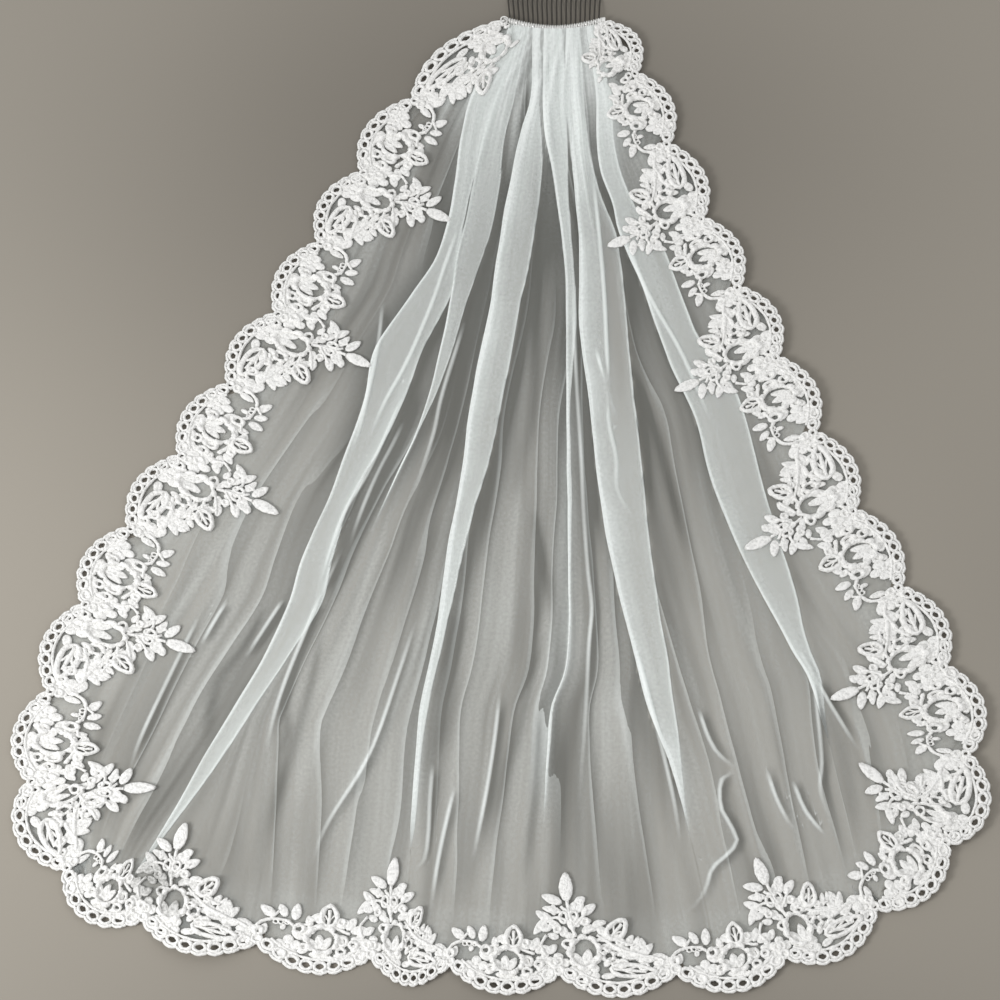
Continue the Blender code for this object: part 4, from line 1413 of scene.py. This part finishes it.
class VEIL_OT_lace(bpy.types.Operator):
    """Embroider the lace trim: draw one repeat flat, then lay its copies along both sides and the hem"""
    bl_idname = "veil.lace"
    bl_label = "Lace trim"

    def execute(self, context):
        settings = context.scene.veil_lace
        noise.seed_set(LUMPS_SEED)      # without it, noise_vector starts from the clock
        leaf = petal_template("leaf", 12, 0.42, 1.5)
        petal = petal_template("petal", 10, -0.12, 1.6)
        button = petal_template("button", 8, 0.0, 1.5)
        templates = (leaf, petal, button)
        fill = fill_places(all_marks(), np.random.default_rng(12))
        edge = lumpy(cords("lace_edge", scallop_edge(0.0, np.random.default_rng(3))))
        spray = lace_unit("lace_spray", templates, SPRAY_LEAVES, SPRAY_BLOSSOMS, SPRAY_RINGS, (),
                          SPRAY_STEMS, ())
        first = lace_unit("lace_first", templates, FIRST_LEAVES, FIRST_BLOSSOMS, FIRST_RINGS, FIRST_OPEN,
                          FIRST_STEMS, [place for place in fill if place[0] < PITCH])
        second = lace_unit("lace_second", templates, SECOND_LEAVES, SECOND_BLOSSOMS, SECOND_RINGS,
                           SECOND_OPEN, SECOND_STEMS, [place for place in fill if place[0] >= PITCH])
        material = lace_material(settings)
        for name, first_scallop, last_scallop in LACE_STRETCHES:
            laid = []
            for scallop in range(first_scallop, last_scallop + 1):
                even = scallop - scallop % 2
                units = [(edge, scallop, "edge"), (second if scallop % 2 else first, even, "motif")]
                if scallop == even and 0 < scallop < NECKS - 1:
                    units.append((spray, even, "spray"))
                for unit, neck, kind in units:
                    copy = duplicate(unit)
                    flat = coordinates(copy.data)
                    set_coordinates(copy.data, lay_on_border(flat, neck, kind, settings.relief))
                    laid.append(copy)
            stretch = join(laid, name + "_trim")
            # Painted shade: round these spots the lace's rise is lowered, so its thread turns greyer
            spot_shade = np.zeros(len(stretch.data.vertices))
            spots = coordinates(stretch.data) / MM + (MIDDLE_X, MIDDLE_Y, 0)
            for x, y, radius, strength in SHADED_SPOTS:
                spot_shade += strength * np.exp(-((spots[:, 0] - x) ** 2 + (spots[:, 1] - y) ** 2) / radius ** 2)
            rise = np.empty(len(spot_shade), np.float32)
            stretch.data.attributes["rise"].data.foreach_get("value", rise)
            store(stretch.data, "rise", rise * (1 - spot_shade))
            stretch.data.shade_smooth()
            finish_piece(stretch, material)
            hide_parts(name)
        for thing in (edge, spray, first, second, *templates):
            bpy.data.objects.remove(thing)
        return {"FINISHED"}


LACE_STRETCHES = (("lace_left", 0, 11), ("lace_hem", 12, 19), ("lace_right", 20, 30))
# Painted shade on the lace where the net's corner would lie over it: x, y, radius, how much greyer
SHADED_SPOTS = ((-292, -405, 22, 0.8), (-268, -424, 16, 0.6))


# ---------------------------------------------------------------------------
# Comb
# ---------------------------------------------------------------------------
class CombSettings(bpy.types.PropertyGroup):
    spine_colour: FloatVectorProperty(
        name="Spine", description="Colour of the twisted spine", subtype="COLOR",
        default=(0.95, 0.95, 0.93), min=0, max=1)
    tooth_colour: FloatVectorProperty(
        name="Teeth", description="Colour of the teeth", subtype="COLOR",
        default=(0.10, 0.095, 0.085), min=0, max=1)
    teeth: IntProperty(name="Teeth", description="Number of teeth", default=20, min=3, max=60)
    twist: FloatProperty(
        name="Twist", description="Length of one turn of the spine's two strands", default=0.0066,
        min=0.002, max=0.03, unit="LENGTH")


SPINE_LENGTH = 100.0        # millimetres, like all below
SPINE_BEYOND = 2.4          # the spine's middle lies this far beyond the gathered edge
STRAND_OFFSET = 1.35        # of a strand's middle from the spine's
STRAND_RADIUS = 1.4
CORE_RADIUS = 0.5
TOOTH_RADIUS = 0.72
TIP_SHARE = 0.55            # of a tooth's radius, at its tip
TIP_INSET = (0.6, 0.7, 0.65)  # of a tooth's tip from its box, along x, y and z
FAN_MIDDLE = 52.0           # teeth lean away from this x
STITCHES = 40
STITCH_RADIUS = 0.5
LOOP_THREAD_RADIUS = 0.75
# Loops of thread on the spine: share along it, radius, how many
LOOPS = ((0.0, 3.2, 1), (0.09, 1.9, 1), (0.97, 2.3, 3), (0.93, 2.2, 2))


def spine_points(share):
    """The spine's centreline, over the gathered edge, in millimetres."""
    line = comb_line(share)
    low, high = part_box("comb_spine")
    level = np.full(len(line), (low.z + high.z) / 2 / MM)
    return np.column_stack([line[:, 0], line[:, 1] + SPINE_BEYOND, level])


def tooth_line(at, node):
    """A tooth's centreline in metres, from its share along the spine to the far end of its box."""
    low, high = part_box(node)
    root = metres(spine_points(np.array([at])))[0]
    leans_right = root[0] > FAN_MIDDLE * MM
    inset_x, inset_y, inset_z = (inset * MM for inset in TIP_INSET)
    tip_x = high.x - inset_x if leans_right else low.x + inset_x
    tip = np.array([tip_x, high.y - inset_y, low.z + inset_z])
    steps = np.linspace(0, 1, 14)[:, None]
    line = root + (tip - root) * steps
    line[:, 2] = root[2] + (tip[2] - root[2]) * ease(0.15, 1.0, steps[:, 0])
    return line


def tying_thread():
    """The loops at the comb's ends and the stitches that tie the net to its spine."""
    lines = []
    angles = np.arange(20) / 20 * 2 * np.pi
    for at, radius, count in LOOPS:
        for number in range(count):
            centre = spine_points(np.array([at + 0.012 * number]))[0]
            x, y = radius * np.cos(angles), radius * np.sin(angles)
            lies_flat = count == 1
            circle = (x, y, 0.8 + 0 * x) if lies_flat else (0.5 * np.sin(angles), x, y)
            lines.append((metres(centre + np.column_stack(circle)), LOOP_THREAD_RADIUS * MM, True))
    rise = np.linspace(0, np.pi, 8)
    over = np.column_stack([1.1 * (rise / np.pi - 0.5), -3.2 * np.cos(rise) - 0.4, 2.3 * np.sin(rise) + 0.6])
    for at in np.linspace(0.03, 0.96, STITCHES):
        centre = spine_points(np.array([at]))[0]
        lines.append((metres(centre + over), STITCH_RADIUS * MM, False))
    return lines


def comb_piece(name, lines, resolution):
    """A smooth piece of round wires or threads."""
    piece = cords(name, lines, resolution)
    piece.data.shade_smooth()
    return piece


class VEIL_OT_comb(bpy.types.Operator):
    """Make the wire comb: a twisted spine, its row of teeth, and the thread that ties the veil to it"""
    bl_idname = "veil.comb"
    bl_label = "Wire comb"

    def execute(self, context):
        settings = context.scene.veil_comb
        turns = SPINE_LENGTH * MM / settings.twist
        share = np.linspace(0, 1, int(turns * 14))
        middle = spine_points(share)
        strands = []
        for side in (0, math.pi):
            angle = share * turns * 2 * np.pi + side
            offset = np.column_stack([0 * angle, np.cos(angle), np.sin(angle)]) * STRAND_OFFSET
            strands.append((metres(middle + offset), STRAND_RADIUS * MM, False))
        core = (metres(spine_points(np.linspace(0, 1, 40))), CORE_RADIUS * MM, False)
        spine = comb_piece("comb_spine_twist", strands + [core], 2)
        finish_piece(spine, wire_material(settings, "plated_wire", settings.spine_colour))
        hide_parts("comb_spine")

        wires = []
        nodes = [f"comb_tooth_{tooth + 1:02d}" for tooth in range(settings.teeth)]
        for tooth, node in enumerate(nodes):
            line = tooth_line(0.06 + 0.88 * tooth / (settings.teeth - 1), node)
            radii = np.full(len(line), TOOTH_RADIUS * MM)
            radii[-1] *= TIP_SHARE
            wires.append((line, radii, False))
        teeth = comb_piece("comb_teeth", wires, 3)
        finish_piece(teeth, wire_material(settings, "dark_wire", settings.tooth_colour))
        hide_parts(*nodes)

        tie = comb_piece("comb_thread", tying_thread(), 1)
        store(tie.data, "rise", np.ones(len(tie.data.vertices)))
        finish_piece(tie, lace_material(context.scene.veil_lace))
        return {"FINISHED"}


# ---------------------------------------------------------------------------
# Stage
# ---------------------------------------------------------------------------
FLOOR_SIZE = 60.0
KEY_PLACE = (-1.6, -1.0, 1.4)
KEY_DIRECTION = (1.6, 0.95, -1.4)
KEY_SIZE = 0.8
CAMERA_PLACE = (0.0003, -1.1025, 2.262)
CAMERA_TILT = 25.0          # degrees from straight down


class StageSettings(bpy.types.PropertyGroup):
    floor_colour: FloatVectorProperty(
        name="Floor", description="Colour of the floor", subtype="COLOR",
        default=(0.335, 0.308, 0.265), min=0, max=1)
    key_power: FloatProperty(
        name="Key light", description="Power of the large soft light", default=25.5, min=0, max=1000,
        unit="POWER")
    sky: FloatProperty(
        name="Room light", description="Strength of the even light from all round", default=0.69, min=0,
        max=5)
    lens: FloatProperty(name="Lens", description="Focal length", default=100.0, min=10, max=300,
                        unit="CAMERA")


class VEIL_OT_stage(bpy.types.Operator):
    """Set the plain floor, the soft studio light and the camera"""
    bl_idname = "veil.stage"
    bl_label = "Stage"

    def execute(self, context):
        settings = context.scene.veil_stage
        deselect()
        bpy.ops.mesh.primitive_plane_add(size=FLOOR_SIZE)
        floor = context.object
        floor.name = "floor"
        floor.data.materials.append(floor_material(settings))

        deselect()
        bpy.ops.object.light_add(type="AREA", location=KEY_PLACE)
        key = context.object
        key.data.shape = "DISK"
        key.data.size = KEY_SIZE
        key.data.energy = settings.key_power
        key.rotation_euler = Vector(KEY_DIRECTION).to_track_quat("-Z", "Y").to_euler()

        world = bpy.data.worlds.new("studio")
        world.use_nodes = True
        background = world.node_tree.nodes["Background"]
        background.inputs["Color"].default_value = (1.0, 1.0, 1.0, 1.0)
        background.inputs["Strength"].default_value = settings.sky
        context.scene.world = world
        context.scene.view_settings.view_transform = "Standard"

        deselect()
        bpy.ops.object.camera_add(location=CAMERA_PLACE, rotation=(math.radians(CAMERA_TILT), 0, 0))
        camera = context.object
        camera.data.lens = settings.lens
        camera.data.sensor_width = 36.0
        context.scene.camera = camera
        return {"FINISHED"}


class VEIL_PT_panel(bpy.types.Panel):
    """Buttons and settings of the veil"""
    bl_idname = "VEIL_PT_panel"
    bl_label = "Bridal veil"
    bl_space_type = "VIEW_3D"
    bl_region_type = "UI"
    bl_category = "Veil"

    def draw(self, context):
        scene = context.scene
        for operator, group, names in (
            ("veil.tulle", scene.veil_tulle, ("net_colour", "shadow_colour", "opacity", "streak_shade_strength",
                                             "pleats", "crease_width", "net_cell", "fold_gap")),
            ("veil.lace", scene.veil_lace, ("thread_colour", "gap_shade_colour", "relief")),
            ("veil.comb", scene.veil_comb, ("spine_colour", "tooth_colour", "teeth", "twist")),
            ("veil.stage", scene.veil_stage, ("floor_colour", "key_power", "sky", "lens")),
        ):
            box = self.layout.box()
            box.operator(operator)
            for name in names:
                box.prop(group, name)


CLASSES = (TulleSettings, LaceSettings, CombSettings, StageSettings,
           VEIL_OT_tulle, VEIL_OT_lace, VEIL_OT_comb, VEIL_OT_stage, VEIL_PT_panel)


def register():
    for item in CLASSES:
        bpy.utils.register_class(item)
    bpy.types.Scene.veil_tulle = PointerProperty(type=TulleSettings)
    bpy.types.Scene.veil_lace = PointerProperty(type=LaceSettings)
    bpy.types.Scene.veil_comb = PointerProperty(type=CombSettings)
    bpy.types.Scene.veil_stage = PointerProperty(type=StageSettings)


def unregister():
    for name in ("veil_tulle", "veil_lace", "veil_comb", "veil_stage"):
        delattr(bpy.types.Scene, name)
    for item in reversed(CLASSES):
        bpy.utils.unregister_class(item)


def main():
    register()
    bpy.ops.veil.tulle()
    bpy.ops.veil.lace()
    bpy.ops.veil.comb()
    bpy.ops.veil.stage()


if __name__ == "__main__":
    main()
